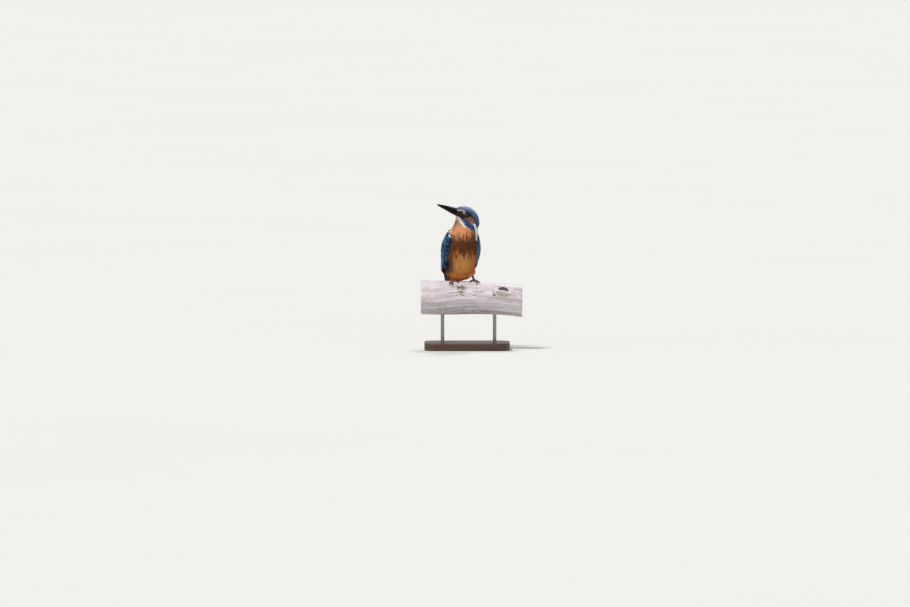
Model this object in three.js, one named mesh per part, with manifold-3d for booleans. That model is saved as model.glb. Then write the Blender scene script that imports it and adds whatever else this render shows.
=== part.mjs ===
// A common kingfisher, life size, gripping a short cut length of bare driftwood on a two-rod display stand.
// Millimetres, +Z up. The origin is the centre of the base's underside. -Y is the front of the stand.
// The bird is built in its own frame (feet at height 0, breast towards -Y, its left side at +X), then placed.
import * as THREE from 'three';
import { LoftGeometry } from 'three/addons/geometries/LoftGeometry.js';
import { mergeVertices } from 'three/addons/utils/BufferGeometryUtils.js';
import Module from 'manifold-3d';

const wasm = await Module();
wasm.setup();
const { degToRad, lerp, clamp } = THREE.MathUtils;

// ---------------------------------------------------------------- driving dimensions
const GAP = 0.35;                      // clearance between neighbouring pieces

const BASE = { length: 118, width: 84, thickness: 10, corner: 14, chamfer: 1.2 };
const ROD = { radius: 2.5, intoBase: 7, intoPerch: 8, left: -34, right: 38 };
const PERCH = {
  left: -64, right: 76,                // cut ends along X
  axisHeight: 71.5,                    // of the axis over the floor, at X = 0
  slope: Math.tan(degToRad(0.8)),      // the +X end is the lower one
  bendFrom: 20, bend: 0.0014,          // past here it curves down, by this for each mm squared
  radius: 22.6, taper: 0.016,          // mm of radius lost for each mm of X
  around: 24, rings: 18,
};
const KNOT = { x: 50, turn: 1.1, reach: 11, height: 2.2, hollow: 1.8, hollowAbove: 5 };

const BIRD_X = -8;                             // the body's middle line along the perch
const BODY_YAW = degToRad(21);                 // the breast faces this far towards +X
const HEAD_YAW = degToRad(-77);                // the head, from the breast, towards the bird's right
const HEAD_PITCH = degToRad(19.2);              // the bill points up by this
const CROUCH = 1.2;                            // the body sits this much lower over the wood than in its own frame
const HEAD_AT = new THREE.Vector3(1.6, -6.0, 92.8);   // the point between the eyes

const TRUNK_TILT = degToRad(25);               // each body section leans back by this
const TRUNK_SQUARENESS = 0.88;                 // 1 is an ellipse, less is squarer
// Body sections from under the tail up to inside the head: middle (x, y, z), half depth, half width.
const TRUNK_SECTIONS = [
  { x: 0.0, y: 40.0, z: -13.5, depth: 1.9, width: 8.4 },
  { x: 0.0, y: 34.5, z: -3.4, depth: 2.8, width: 10.0 },
  { x: 0.0, y: 27.2, z: 7.6, depth: 7.6, width: 12.2 },
  { x: 0.0, y: 15.4, z: 10.4, depth: 18.0, width: 18.4 },
  { x: 0.0, y: 8.8, z: 19.0, depth: 21.6, width: 20.6 },
  { x: 0.0, y: 3.9, z: 29.6, depth: 23.4, width: 21.4 },
  { x: 0.0, y: 0.4, z: 41.2, depth: 23.8, width: 21.5 },
  { x: 0.2, y: -2.6, z: 52.8, depth: 22.4, width: 21.0 },
  { x: 1.2, y: -4.2, z: 62.8, depth: 20.2, width: 20.0 },
  { x: 3.2, y: -4.8, z: 71.2, depth: 17.6, width: 18.0 },
  { x: 5.2, y: -4.8, z: 78.4, depth: 15.6, width: 16.4 },
  { x: 6.0, y: -4.6, z: 85.0, depth: 14.0, width: 15.8 },
  { x: 5.6, y: -4.4, z: 91.0, depth: 11.4, width: 13.4 },
];
const RUMP = 2, SHOULDERS = 9, THROAT = 12;    // places along those sections

// Head sections from the bill's root to the nape: distance behind the eyes, top, underside, half width.
const HEAD_SECTIONS = [
  { back: -14.8, top: 4.8, under: -3.8, width: 3.9 },
  { back: -13.2, top: 6.8, under: -5.0, width: 5.3 },
  { back: -9.6, top: 9.4, under: -6.6, width: 7.4 },
  { back: -5.0, top: 11.4, under: -8.4, width: 9.5 },
  { back: 0.0, top: 12.6, under: -10.2, width: 11.1 },
  { back: 5.0, top: 13.0, under: -11.8, width: 11.9 },
  { back: 10.0, top: 12.1, under: -12.6, width: 12.1 },
  { back: 15.0, top: 9.8, under: -13.0, width: 11.5 },
  { back: 20.8, top: 5.4, under: -13.2, width: 9.8 },
  { back: 25.4, top: -1.6, under: -11.8, width: 5.8 },
];
const EYE = { radius: 3.5, side: 8.3, back: -1.0, up: -0.9, opening: 2.9 };
const BILL = {
  root: -14.5, length: 33.5, buried: 6.5,      // along the head's own forward line
  depth: 10.0, width: 8.2, seam: 0.4, gapeDrop: 0.6, tipDroop: 0.6,
};

// A folded wing is a raised patch of the body's surface, run from the shoulder down to its tip.
const WING = { top: 8.45, tip: 0.35, thickness: 6.6, edge: 0.9, rows: 18, across: 7, tipCut: 15 };
const WING_FRONT = { left: 22, right: 10 };    // degrees towards the breast that each shoulder reaches
const WING_FLATTENING = { left: 0.5, right: 0.92 };   // of its thickness, from shoulder to tip
const TAIL = { length: 36, rootWidth: 9.5, tipWidth: 12.5, thickness: 1.5, rows: 9, around: 14 };

const FOOT = { spread: 15.2, x: 2.4, stagger: 2.0, aim: 0.15 };
const SHANK = { left: 6.9, right: 4.3 };       // the belly sits lower over the right foot
const TOE = { radius: 1.15, claw: 4.4 };
// Each toe's heading from the bird's forward line, away from its middle, and its length without the claw.
const TOES = [
  { name: 'inner', heading: -0.62, length: 9.6 },
  { name: 'middle', heading: 0.10, length: 13.2 },
  { name: 'outer', heading: 0.36, length: 12.0 },
  { name: 'hind', heading: Math.PI - 0.12, length: 8.4 },
];
// The feathered thigh, from the bare foot up to where it is lost in the belly.
const THIGH = {
  leftX: 9.6, rightX: -11.8, back: 5, top: 22,
  stops: [
    { share: 0, radius: 2.2 }, { share: 0.06, radius: 4.0 }, { share: 0.2, radius: 6.4 },
    { share: 0.42, radius: 7.8 }, { share: 0.7, radius: 7.6 }, { share: 1, radius: 5.4 },
  ],
};

const COLOURS = {
  blue: 0x1d5a8c, teal: 0x1f5f70, orange: 0xc06a26, white: 0xe8e2da, horn: 0x17151b,
  eye: 0x0d0909, foot: 0x7c4a3e, wood: 0xc9c0b8, steel: 0x8c8f94, base: 0x3a2a20,
};

// ---------------------------------------------------------------- solids and small helpers
const UP = new THREE.Vector3(0, 0, 1);
const ACROSS = new THREE.Vector3(1, 0, 0);

// The closed surface alone, with its shared corners merged.
function bare(geometry) {
  const plain = new THREE.BufferGeometry();
  plain.setAttribute('position', geometry.getAttribute('position'));
  plain.setIndex(geometry.index);
  return mergeVertices(plain, 1e-4);
}

function solid(geometry) {
  const merged = bare(geometry);
  const made = new wasm.Manifold(new wasm.Mesh({
    numProp: 3,
    vertProperties: merged.attributes.position.array,
    triVerts: new Uint32Array(merged.index.array),
  }));
  if (made.volume() < 0) throw new Error('a solid is inside out');
  return made;
}

// The largest body of a solid, so that a cut leaves no crumbs.
function mainBody(body) {
  return body.decompose().sort((a, b) => b.volume() - a.volume())[0];
}

function geometryOf(body) {
  const mesh = body.getMesh();
  const points = new Float32Array(mesh.numVert * 3);
  for (let i = 0; i < mesh.numVert; i++) {
    points.set(mesh.vertProperties.subarray(i * mesh.numProp, i * mesh.numProp + 3), i * 3);
  }
  const geometry = new THREE.BufferGeometry();
  geometry.setAttribute('position', new THREE.BufferAttribute(points, 3));
  geometry.setIndex(new THREE.BufferAttribute(mesh.triVerts, 1));
  geometry.computeVertexNormals();
  return geometry;
}

function meshOf(name, geometry, color, roughness = 0.6, metalness = 0) {
  const material = new THREE.MeshStandardMaterial({ color, roughness, metalness });
  const mesh = new THREE.Mesh(geometry, material);
  mesh.name = name;
  return mesh;
}

// One value of a list of sections, as a smooth function of the place along the list.
function along(sections, key) {
  const places = sections.map((_, i) => i);
  const cubic = new THREE.CubicInterpolant(places, sections.map((section) => section[key]), 1);
  return (t) => cubic.evaluate(clamp(t, 0, sections.length - 1))[0];
}

function profiles(sections, keys) {
  return Object.fromEntries(keys.map((key) => [key, along(sections, key)]));
}

function loft(sections) {
  return new LoftGeometry(sections, { capStart: true, capEnd: true });
}

// A list of count + 1 results, for shares from 0 to 1.
function shares(count, make) {
  return Array.from({ length: count + 1 }, (_, i) => make(i / count));
}

// A closed ring of points.
function ring(count, make) {
  return Array.from({ length: count }, (_, k) => make((k / count) * 2 * Math.PI));
}

// A round tapering tube along a list of { at, radius }, each section square to the path.
function tube(stops, sides = 10) {
  return loft(stops.map((stop, i) => {
    const before = stops[Math.max(0, i - 1)].at;
    const after = stops[Math.min(stops.length - 1, i + 1)].at;
    const ahead = after.clone().sub(before).normalize();
    const side = ahead.clone().cross(Math.abs(ahead.z) > 0.9 ? ACROSS : UP).normalize();
    const rise = side.clone().cross(ahead);
    return ring(sides, (turn) => stop.at.clone()
      .addScaledVector(side, -Math.cos(turn) * stop.radius)
      .addScaledVector(rise, Math.sin(turn) * stop.radius));
  }));
}

function facesOut(geometry) {
  const { attributes: { position }, index } = bare(geometry);
  const corners = [0, 1, 2].map(() => new THREE.Vector3());
  let volume = 0;
  for (let i = 0; i < index.count; i += 3) {
    corners.forEach((corner, k) => corner.fromBufferAttribute(position, index.getX(i + k)));
    volume += corners[0].dot(corners[1].cross(corners[2]));
  }
  return volume > 0;
}

function loftedSolid(sections) {
  const geometry = loft(sections);
  return solid(facesOut(geometry) ? geometry : loft(sections.map((section) => [...section].reverse())));
}

function ball(centre, radius, wide = 16, tall = 10) {
  return new THREE.SphereGeometry(radius, wide, tall).rotateX(Math.PI / 2).translate(...centre);
}

// Everything beyond a plane, out to a good way past the bird.
function halfSpace(point, normal) {
  const slab = new THREE.BoxGeometry(160, 160, 160).translate(0, 0, 80);
  const turn = new THREE.Quaternion().setFromUnitVectors(UP, normal.clone().normalize());
  return solid(slab.applyQuaternion(turn).translate(...point));
}

// The two sides of a thin cut through a plane.
function cut(point, normal) {
  const way = normal.clone().normalize();
  return {
    beyond: halfSpace(point, way),
    before: halfSpace(point.clone().addScaledVector(way, -GAP), way.clone().negate()),
  };
}

// ---------------------------------------------------------------- the perch and its stand
function perchAxis(x) {
  const past = Math.max(0, x - PERCH.bendFrom);
  return new THREE.Vector3(x, 0, PERCH.axisHeight - PERCH.slope * x - PERCH.bend * past * past);
}

// The distance from the axis to the wood, at a turn from the top towards the front.
function perchRadius(x, turn) {
  const round = PERCH.radius - PERCH.taper * x;
  const ripple = 0.022 * Math.sin(2 * turn + 0.6) + 0.016 * Math.sin(3 * turn - 1.1 + x / 40)
    + 0.010 * Math.sin(5 * turn + x / 17);
  const drop = (turn - KNOT.turn) * round;
  const away = Math.hypot((x - KNOT.x) / 1.35, drop) / KNOT.reach;
  const rim = KNOT.height * Math.exp(-1.4 * Math.pow(away, 4));
  const fromHollow = Math.hypot((x - KNOT.x) / 1.4, drop + KNOT.hollowAbove) / 3.8;
  const hollow = KNOT.hollow * Math.exp(-fromHollow * fromHollow);
  return round * (1 + ripple) + rim - hollow;
}

function perchPoint(x, turn, lift = 0) {
  const r = perchRadius(x, turn) + lift;
  return perchAxis(x).add(new THREE.Vector3(0, -Math.sin(turn) * r, Math.cos(turn) * r));
}

function upright(radius, low, high, x) {
  const rod = new THREE.CylinderGeometry(radius, radius, high - low, 24);
  return rod.rotateX(Math.PI / 2).translate(x, 0, (low + high) / 2);
}

function rodSpan(x) {
  return { low: BASE.thickness - ROD.intoBase, high: perchPoint(x, Math.PI).z + ROD.intoPerch };
}

function makePerch() {
  let body = loftedSolid(shares(PERCH.rings, (share) => ring(PERCH.around, (turn) => (
    perchPoint(lerp(PERCH.left, PERCH.right, share), turn > Math.PI ? turn - 2 * Math.PI : turn)
  ))));
  for (const x of [ROD.left, ROD.right]) {
    const span = rodSpan(x);
    body = body.subtract(solid(upright(ROD.radius + GAP, span.low, span.high + GAP, x)));
  }
  return meshOf('perch', geometryOf(body), COLOURS.wood, 0.85);
}

function makeBase() {
  const half = { x: BASE.length / 2 - BASE.chamfer, y: BASE.width / 2 - BASE.chamfer };
  const round = { x: half.x - BASE.corner, y: half.y - BASE.corner, r: BASE.corner };
  const outline = new THREE.Shape();
  outline.moveTo(round.x, -half.y);
  outline.absarc(round.x, -round.y, round.r, -Math.PI / 2, 0);
  outline.absarc(round.x, round.y, round.r, 0, Math.PI / 2);
  outline.absarc(-round.x, round.y, round.r, Math.PI / 2, Math.PI);
  outline.absarc(-round.x, -round.y, round.r, Math.PI, 1.5 * Math.PI);
  const plate = new THREE.ExtrudeGeometry(outline, {
    depth: BASE.thickness - 2 * BASE.chamfer, curveSegments: 6,
    bevelThickness: BASE.chamfer, bevelSize: BASE.chamfer, bevelSegments: 2,
  });
  let body = solid(plate.translate(0, 0, BASE.chamfer));
  for (const x of [ROD.left, ROD.right]) {
    const floor = rodSpan(x).low - GAP;
    body = body.subtract(solid(upright(ROD.radius + GAP, floor, BASE.thickness + 1, x)));
  }
  return meshOf('stand_base', geometryOf(body), COLOURS.base, 0.45);
}

function makeRod(name, x) {
  const span = rodSpan(x);
  return meshOf(name, upright(ROD.radius, span.low, span.high, x), COLOURS.steel, 0.3, 0.9);
}

// ---------------------------------------------------------------- the bird's place on the perch
const FEET_HEIGHT = perchPoint(BIRD_X, 0).z - CROUCH;
const birdPlace = new THREE.Matrix4().makeTranslation(BIRD_X, 0, FEET_HEIGHT)
  .multiply(new THREE.Matrix4().makeRotationZ(BODY_YAW));
const toBird = birdPlace.clone().invert();

function inBird(body) {
  return body.transform(toBird.elements);
}

// ---------------------------------------------------------------- the body's own surface
const trunk = profiles(TRUNK_SECTIONS, ['x', 'y', 'z', 'depth', 'width']);
const TO_BELLY = new THREE.Vector3(0, -Math.cos(TRUNK_TILT), -Math.sin(TRUNK_TILT));

function squared(value) {
  return Math.sign(value) * Math.pow(Math.abs(value), TRUNK_SQUARENESS);
}

function trunkMiddle(t) {
  return new THREE.Vector3(trunk.x(t), trunk.y(t), trunk.z(t));
}

// A point of the body at section t. Turn 0 is the bird's left side, a quarter turn is the belly.
function trunkPoint(t, turn, grow = 0) {
  return trunkMiddle(t)
    .addScaledVector(ACROSS, squared(Math.cos(turn)) * (trunk.width(t) + grow))
    .addScaledVector(TO_BELLY, squared(Math.sin(turn)) * (trunk.depth(t) + grow));
}

function trunkBody(from, to, grow = 0, rows = 18, around = 24) {
  return loftedSolid(shares(rows, (share) => (
    ring(around, (turn) => trunkPoint(lerp(from, to, share), turn, grow))
  )));
}

// ---------------------------------------------------------------- the head
const head = profiles(HEAD_SECTIONS, ['back', 'top', 'under', 'width']);
const HEAD_PLACE = new THREE.Matrix4().makeTranslation(HEAD_AT)
  .multiply(new THREE.Matrix4().makeRotationZ(HEAD_YAW))
  .multiply(new THREE.Matrix4().makeRotationX(-HEAD_PITCH));

function inHead(x, y, z) {
  return new THREE.Vector3(x, y, z).applyMatrix4(HEAD_PLACE);
}

function headBody(grow = 0, rows = 15, around = 20) {
  return loftedSolid(shares(rows, (share) => {
    const t = share * (HEAD_SECTIONS.length - 1);
    const middle = (head.top(t) + head.under(t)) / 2;
    const tall = (head.top(t) - head.under(t)) / 2 + grow;
    const wide = head.width(t) + grow;
    return ring(around, (turn) => (
      inHead(Math.cos(turn) * wide, head.back(t), middle + Math.sin(turn) * tall)
    ));
  }));
}

function eyeCentre(side) {
  return inHead(side * EYE.side, EYE.back, EYE.up);
}

// The ball's room in the skull, and the opening between the lids.
function eyeSocket(side) {
  const centre = eyeCentre(side);
  const out = centre.clone().sub(eyeCentre(-side)).normalize();
  const opening = tube([
    { at: centre, radius: EYE.opening },
    { at: centre.clone().addScaledVector(out, 6), radius: EYE.opening + 1.2 },
  ], 14);
  return solid(ball(centre, EYE.radius + GAP, 12, 8)).add(solid(opening));
}

// Half a bill. The edges meet on a line that climbs a little; ridge is 1 above and -1 below.
function billBody(ridge) {
  return loftedSolid(shares(12, (run) => {
    const full = Math.min(1, 1.12 * Math.pow(1 - run, 0.8));
    const tall = (BILL.depth / 2) * full * (ridge > 0 ? 1.06 : 0.9) + 0.28;
    const wide = (BILL.width / 2) * Math.min(1, 1.1 * Math.pow(1 - run, 0.95)) + 0.3;
    const y = BILL.root + BILL.buried - run * (BILL.length + BILL.buried);
    const seam = BILL.seam + BILL.gapeDrop * (run - 1) - BILL.tipDroop * run * run + ridge * (GAP / 2);
    return shares(8, (share) => {
      const turn = share * Math.PI;
      return inHead(Math.cos(turn) * wide, y, seam + ridge * Math.pow(Math.sin(turn), 0.9) * tall);
    });
  }));
}

// ---------------------------------------------------------------- wings and tail
// How far round the body the wing's two edges lie, at a share of its run. side is 1 for the bird's left.
function wingEdges(run, side) {
  const high = side > 0 ? WING_FRONT.left : WING_FRONT.right;
  const front = lerp(high, -26, Math.pow(run, 1.8)) - 22 * Math.pow(run, 7);
  const back = lerp(-44, -76, Math.min(1, run * 2.2));
  return { front: degToRad(front), back: degToRad(back) };
}

function wingSection(run, side) {
  const t = lerp(WING.top, WING.tip, run);
  const { front, back } = wingEdges(run, side);
  const flattening = side > 0 ? WING_FLATTENING.left : WING_FLATTENING.right;
  const swell = Math.pow(Math.min(1, run / 0.26 + 0.02), 0.8) * (1 - flattening * run);
  const closing = Math.pow(Math.min(1, (1 - run) / 0.1 + 0.12), 0.7);
  const spot = (share, lift) => {
    const p = trunkPoint(t, lerp(front, back, 0.5 + (share - 0.5) * closing), lift);
    return new THREE.Vector3(side * (p.x - trunk.x(t)) + trunk.x(t), p.y, p.z);
  };
  const outer = shares(WING.across, (share) => {
    const round = Math.pow(Math.sin(Math.PI * (0.04 + 0.92 * share)), 0.45);
    return spot(share, GAP + WING.edge + (WING.thickness - WING.edge) * swell * round);
  });
  const inner = shares(WING.across, (share) => spot(1 - share, GAP));
  return [...outer, ...inner];
}

function wingBody(side) {
  return loftedSolid(shares(WING.rows, (run) => wingSection(run, side)));
}

function tailBody() {
  const root = trunkMiddle(RUMP);
  const aim = trunkMiddle(0).sub(root).normalize();
  const thickWay = ACROSS.clone().cross(aim);
  return loftedSolid(shares(TAIL.rows, (run) => {
    const round = Math.sqrt(1 - Math.pow(Math.max(0, (run - 0.72) / 0.30), 2));
    const wide = lerp(TAIL.rootWidth, TAIL.tipWidth, run) * round;
    const thick = TAIL.thickness * (1 - 0.55 * run);
    const middle = root.clone().addScaledVector(aim, run * TAIL.length);
    return ring(TAIL.around, (turn) => {
      const across = Math.cos(turn) * wide;
      const arch = -1.1 * Math.pow(across / TAIL.tipWidth, 2);
      return middle.clone().addScaledVector(ACROSS, across)
        .addScaledVector(thickWay, Math.sin(turn) * thick + arch);
    });
  }));
}

// ---------------------------------------------------------------- legs and feet, laid on the perch
function footCentre(side) {
  return { x: BIRD_X + FOOT.x + side * FOOT.spread, turn: (-side * FOOT.stagger) / PERCH.radius };
}

// A path that leaves the ball of the foot and follows the wood. lift is a function of the share run.
function toePath(side, toe, from, to, lift, steps) {
  const foot = footCentre(side);
  const heading = side * toe.heading + FOOT.aim;
  return shares(steps, (share) => {
    const run = lerp(from, to, share);
    const x = foot.x + Math.sin(heading) * run;
    const turn = foot.turn + (Math.cos(heading) * run) / PERCH.radius;
    return perchPoint(x, turn, lift(share));
  });
}

function toeBody(side, toe) {
  const steps = 6;
  const pads = (share) => TOE.radius * (1 - 0.22 * share) * (1 + 0.09 * Math.cos(share * 6 * Math.PI));
  const path = toePath(side, toe, 0, toe.length, (share) => GAP + pads(share) + 0.12, steps);
  return solid(tube(path.map((at, i) => ({ at, radius: pads(i / steps) })), 7));
}

function clawBody(side, toe) {
  const steps = 4;
  const arch = (share) => 0.9 * Math.sin(Math.PI * Math.min(1, share * 1.15)) * (1 - share);
  const lift = (share) => GAP + TOE.radius * 0.78 * (1 - share) + 0.35 + arch(share);
  const path = toePath(side, toe, toe.length + GAP, toe.length + TOE.claw, lift, steps);
  return solid(tube(path.map((at, i) => ({ at, radius: 0.26 + TOE.radius * 0.5 * (1 - i / steps) })), 6));
}

function ankle(side) {
  const foot = footCentre(side);
  const shank = side > 0 ? SHANK.left : SHANK.right;
  return perchPoint(foot.x, foot.turn, TOE.radius + shank).add(new THREE.Vector3(-0.32 * shank, 2, 0));
}

function footBody(side) {
  const foot = footCentre(side);
  const sole = perchPoint(foot.x, foot.turn, TOE.radius + GAP + 0.25);
  const shank = [0, 0.15, 0.4, 0.7, 1].map((share) => ({
    at: sole.clone().lerp(ankle(side), share), radius: 1.75 - 0.5 * Math.sin(share * Math.PI * 0.8),
  }));
  return TOES.reduce((body, toe) => body.add(toeBody(side, toe)),
    solid(tube(shank, 10)).add(solid(ball(sole, TOE.radius + 0.2, 10, 6))));
}

// The space that the bare shank takes up, with clearance.
function shankRoom(side) {
  const foot = footCentre(side);
  const sole = perchPoint(foot.x, foot.turn, TOE.radius);
  const top = ankle(side);
  const beyond = top.clone().addScaledVector(top.clone().sub(sole).normalize(), GAP);
  return inBird(solid(tube([{ at: sole, radius: 2.3 }, { at: beyond, radius: 2.3 }], 12)));
}

function thighBody(side, grow = 0) {
  const low = ankle(side).applyMatrix4(toBird);
  low.z -= grow;
  const high = new THREE.Vector3(side > 0 ? THIGH.leftX : THIGH.rightX, low.y + THIGH.back, THIGH.top + grow);
  return solid(tube(THIGH.stops.map(({ share, radius }) => ({
    at: low.clone().lerp(high, share), radius: radius + grow,
  })), 14));
}

// ---------------------------------------------------------------- putting the bird together
function makeBird() {
  const bird = new THREE.Group();
  const add = (name, body, colour, roughness) => {
    bird.add(meshOf(name, geometryOf(mainBody(body)), colour, roughness));
  };

  // Head and body are one form, parted under the jaw and again above the shoulders.
  const whole = trunkBody(RUMP, THROAT).add(headBody());
  const jawWay = new THREE.Vector3(0, -0.34, -0.94).applyMatrix4(new THREE.Matrix4().makeRotationZ(HEAD_YAW));
  const jaw = cut(inHead(0, 6, -10.4), jawWay);
  const shoulderWay = new THREE.Vector3(0, -0.6 * Math.sin(TRUNK_TILT), 1);
  const shoulder = cut(trunkMiddle(SHOULDERS), shoulderWay);

  add('head', whole.intersect(jaw.before).subtract(eyeSocket(1)).subtract(eyeSocket(-1)), COLOURS.blue);
  add('neck', whole.intersect(jaw.beyond).intersect(shoulder.beyond), COLOURS.white);
  const belly = whole.intersect(jaw.beyond).intersect(shoulder.before);
  add('trunk', belly.subtract(thighBody(1, GAP)).subtract(thighBody(-1, GAP)), COLOURS.orange);
  add('tail', tailBody().subtract(trunkBody(RUMP - 0.02, RUMP + 1.2, GAP, 4)), COLOURS.blue);

  const neckRoom = headBody(GAP).add(trunkBody(8.3, THROAT, GAP, 8));
  const skullRoom = headBody(GAP).add(trunkBody(8, THROAT, GAP, 8));
  add('bill_upper', billBody(1).subtract(skullRoom), COLOURS.horn, 0.25);
  add('bill_lower', billBody(-1).subtract(skullRoom), COLOURS.horn, 0.25);

  for (const [name, side] of [['left', 1], ['right', -1]]) {
    bird.add(meshOf('eye_' + name, ball(eyeCentre(side), EYE.radius), COLOURS.eye, 0.08));

    const wing = wingBody(side).subtract(neckRoom).subtract(thighBody(side, GAP));
    const wrist = cut(new THREE.Vector3(0, 0, WING.tipCut), new THREE.Vector3(0, 0.25, -1));
    add('wing_' + name, wing.intersect(wrist.before), COLOURS.teal);
    add('wingtip_' + name, wing.intersect(wrist.beyond), COLOURS.blue);

    const covered = trunkBody(RUMP, THROAT, GAP).subtract(thighBody(side));
    add('foot_' + name, inBird(footBody(side)).subtract(covered), COLOURS.foot);
    add('leg_' + name, thighBody(side).subtract(shankRoom(side)), COLOURS.orange);
    for (const toe of TOES) {
      add('claw_' + name + '_' + toe.name, inBird(clawBody(side, toe)), COLOURS.horn, 0.3);
    }
  }
  bird.applyMatrix4(birdPlace);
  return bird;
}

const kingfisher = new THREE.Group();
kingfisher.add(makeBase(), makeRod('stand_rod_left', ROD.left), makeRod('stand_rod_right', ROD.right));
kingfisher.add(makePerch(), makeBird());

export default kingfisher;
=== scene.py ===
"""A common kingfisher, life size, on a short cut length of bare driftwood held by a two-rod display stand.

Each part is an operator, its sizes and colours are property groups, and main() calls the operators in order.
Settings are in metres. Inside the functions every length is in millimetres, in the frame of the solids:
+X runs along the perch, -Y is the front of the stand and +Z is up.
"""

import heapq
import math

import bpy
import numpy as np
from bpy.props import FloatProperty, FloatVectorProperty, IntProperty, PointerProperty
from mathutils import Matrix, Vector
from mathutils.bvhtree import BVHTree
from mathutils.kdtree import KDTree


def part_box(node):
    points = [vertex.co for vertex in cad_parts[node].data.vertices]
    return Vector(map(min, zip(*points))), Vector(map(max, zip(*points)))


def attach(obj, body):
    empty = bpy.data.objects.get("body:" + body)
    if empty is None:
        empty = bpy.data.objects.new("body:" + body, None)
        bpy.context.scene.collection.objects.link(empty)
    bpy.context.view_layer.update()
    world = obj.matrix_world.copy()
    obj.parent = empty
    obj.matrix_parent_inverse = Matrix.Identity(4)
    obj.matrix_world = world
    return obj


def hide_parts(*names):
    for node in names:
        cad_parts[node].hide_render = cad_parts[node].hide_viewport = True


bl_info = {
    "name": "Kingfisher on a perch",
    "version": (1, 0, 0),
    "blender": (4, 5, 0),
    "location": "3D View > Sidebar > Kingfisher",
    "description": "Feathers, bill, feet, driftwood and stand of a life-size kingfisher, over its solids",
    "category": "Add Mesh",
}

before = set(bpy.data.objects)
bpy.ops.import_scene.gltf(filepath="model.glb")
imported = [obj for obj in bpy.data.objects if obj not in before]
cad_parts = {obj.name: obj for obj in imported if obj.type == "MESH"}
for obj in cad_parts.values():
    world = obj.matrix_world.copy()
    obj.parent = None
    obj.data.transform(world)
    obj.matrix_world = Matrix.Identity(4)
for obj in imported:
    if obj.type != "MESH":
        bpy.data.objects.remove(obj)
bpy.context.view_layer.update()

MM = 0.001
FLESH = ("head", "neck", "trunk", "leg_left", "leg_right", "wing_left", "wing_right")
SIDES = {"left": 1, "right": -1}
made = {}  # what one operator makes and a later one needs


# -------- numbers
def unit(vectors):
    return vectors / np.maximum(np.linalg.norm(vectors, axis=-1, keepdims=True), 1e-12)


def dot(first, second):
    return (first * second).sum(-1)


def span(vectors):
    return np.linalg.norm(vectors, axis=-1)


def joined(*columns):
    """Arrays side by side, as the columns of one more axis."""
    return np.stack(columns, axis=-1)


def smooth(low, high, value):
    """0 below low, 1 above high, and an even curve between them."""
    share = np.clip((value - low) / (high - low), 0, 1)
    return share * share * (3 - 2 * share)


def window(value, rise, full, fade, gone):
    """1 from full to fade, and 0 before rise and after gone."""
    return smooth(rise, full, value) * (1 - smooth(fade, gone, value))


def hill(value, top, width):
    """1 at the top, and falling off softly over the width to both sides."""
    return np.exp(-((value - top) / width) ** 2)


def between(first, second, share):
    return first + (second - first) * share


def mix(first, second, share):
    """Colours or points, share of the way from first to second."""
    return between(first, second, np.asarray(share)[..., None])


def painted(colour, *layers):
    """A colour under layers, each of them (colour, how much of it shows)."""
    for layer, share in layers:
        colour = mix(colour, layer, share)
    return colour


def linear(code):
    """A colour written as six hexadecimal digits, as the light values that Blender works with."""
    shares = [int(code[i:i + 2], 16) / 255 for i in (0, 2, 4)]
    return [s / 12.92 if s < 0.04045 else ((s + 0.055) / 1.055) ** 2.4 for s in shares]


# Large odd numbers that give each corner of a grid, and each seed, a value of its own.
SCATTER = (73856093, 19349663, 83492791)
SCATTER_SEED = 2654435761
SCATTER_AGAIN = 1274126177


def cloud(points, cell, seed=0):
    """Soft noise from 0 to 1 in space, between random values at the corners of a grid of that cell."""
    place = points / np.asarray(cell)
    corner = np.floor(place).astype(np.int64)
    share = place - corner
    share = share * share * (3 - 2 * share)
    total = np.zeros(points.shape[:-1])
    for step in np.ndindex(2, 2, 2):
        weight = np.prod(np.where(step, share, 1 - share), axis=-1)
        key = np.bitwise_xor.reduce((corner + step) * SCATTER, axis=-1) ^ seed * SCATTER_SEED
        key = ((key ^ key >> 13) * SCATTER_AGAIN) & 0xFFFFFFFF
        total += weight * ((key ^ key >> 16) & 0xFFFF) / 0xFFFF
    return total


def inside(outline, x, y, soft):
    """1 inside a closed outline of points and 0 outside it, over an edge that soft."""
    corners = np.array(outline, float)
    nearest = np.full(x.shape, np.inf)
    crossings = np.zeros(x.shape, int)
    for (ax, ay), (bx, by) in zip(corners, np.roll(corners, -1, axis=0)):
        along = np.clip(((x - ax) * (bx - ax) + (y - ay) * (by - ay))
                        / ((bx - ax) ** 2 + (by - ay) ** 2), 0, 1)
        nearest = np.minimum(nearest, np.hypot(x - ax - along * (bx - ax), y - ay - along * (by - ay)))
        crosses = (ay > y) != (by > y)
        with np.errstate(divide="ignore", invalid="ignore"):
            crosses &= x < (bx - ax) * (y - ay) / (by - ay) + ax
        crossings += crosses
    signed = np.where(crossings % 2 == 1, nearest, -nearest)
    return smooth(-soft, soft, signed)


def softened(values, rounds, wrap=False):
    """A grid of values or points with each row and column averaged with its neighbours. wrap joins axis 1."""
    for _ in range(rounds):
        for axis, mode in ((0, "edge"), (1, "wrap" if wrap else "edge")):
            margin = [(int(place == axis),) * 2 for place in range(values.ndim)]
            padded = np.pad(values, margin, mode).swapaxes(0, axis)
            values = ((padded[:-2] + 2 * padded[1:-1] + padded[2:]) / 4).swapaxes(0, axis)
    return values


# -------- meshes
def read(items, key, width=1, kind=float):
    values = np.empty(len(items) * width, kind)
    items.foreach_get(key, values)
    return values.reshape(-1, width) if width > 1 else values


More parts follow.
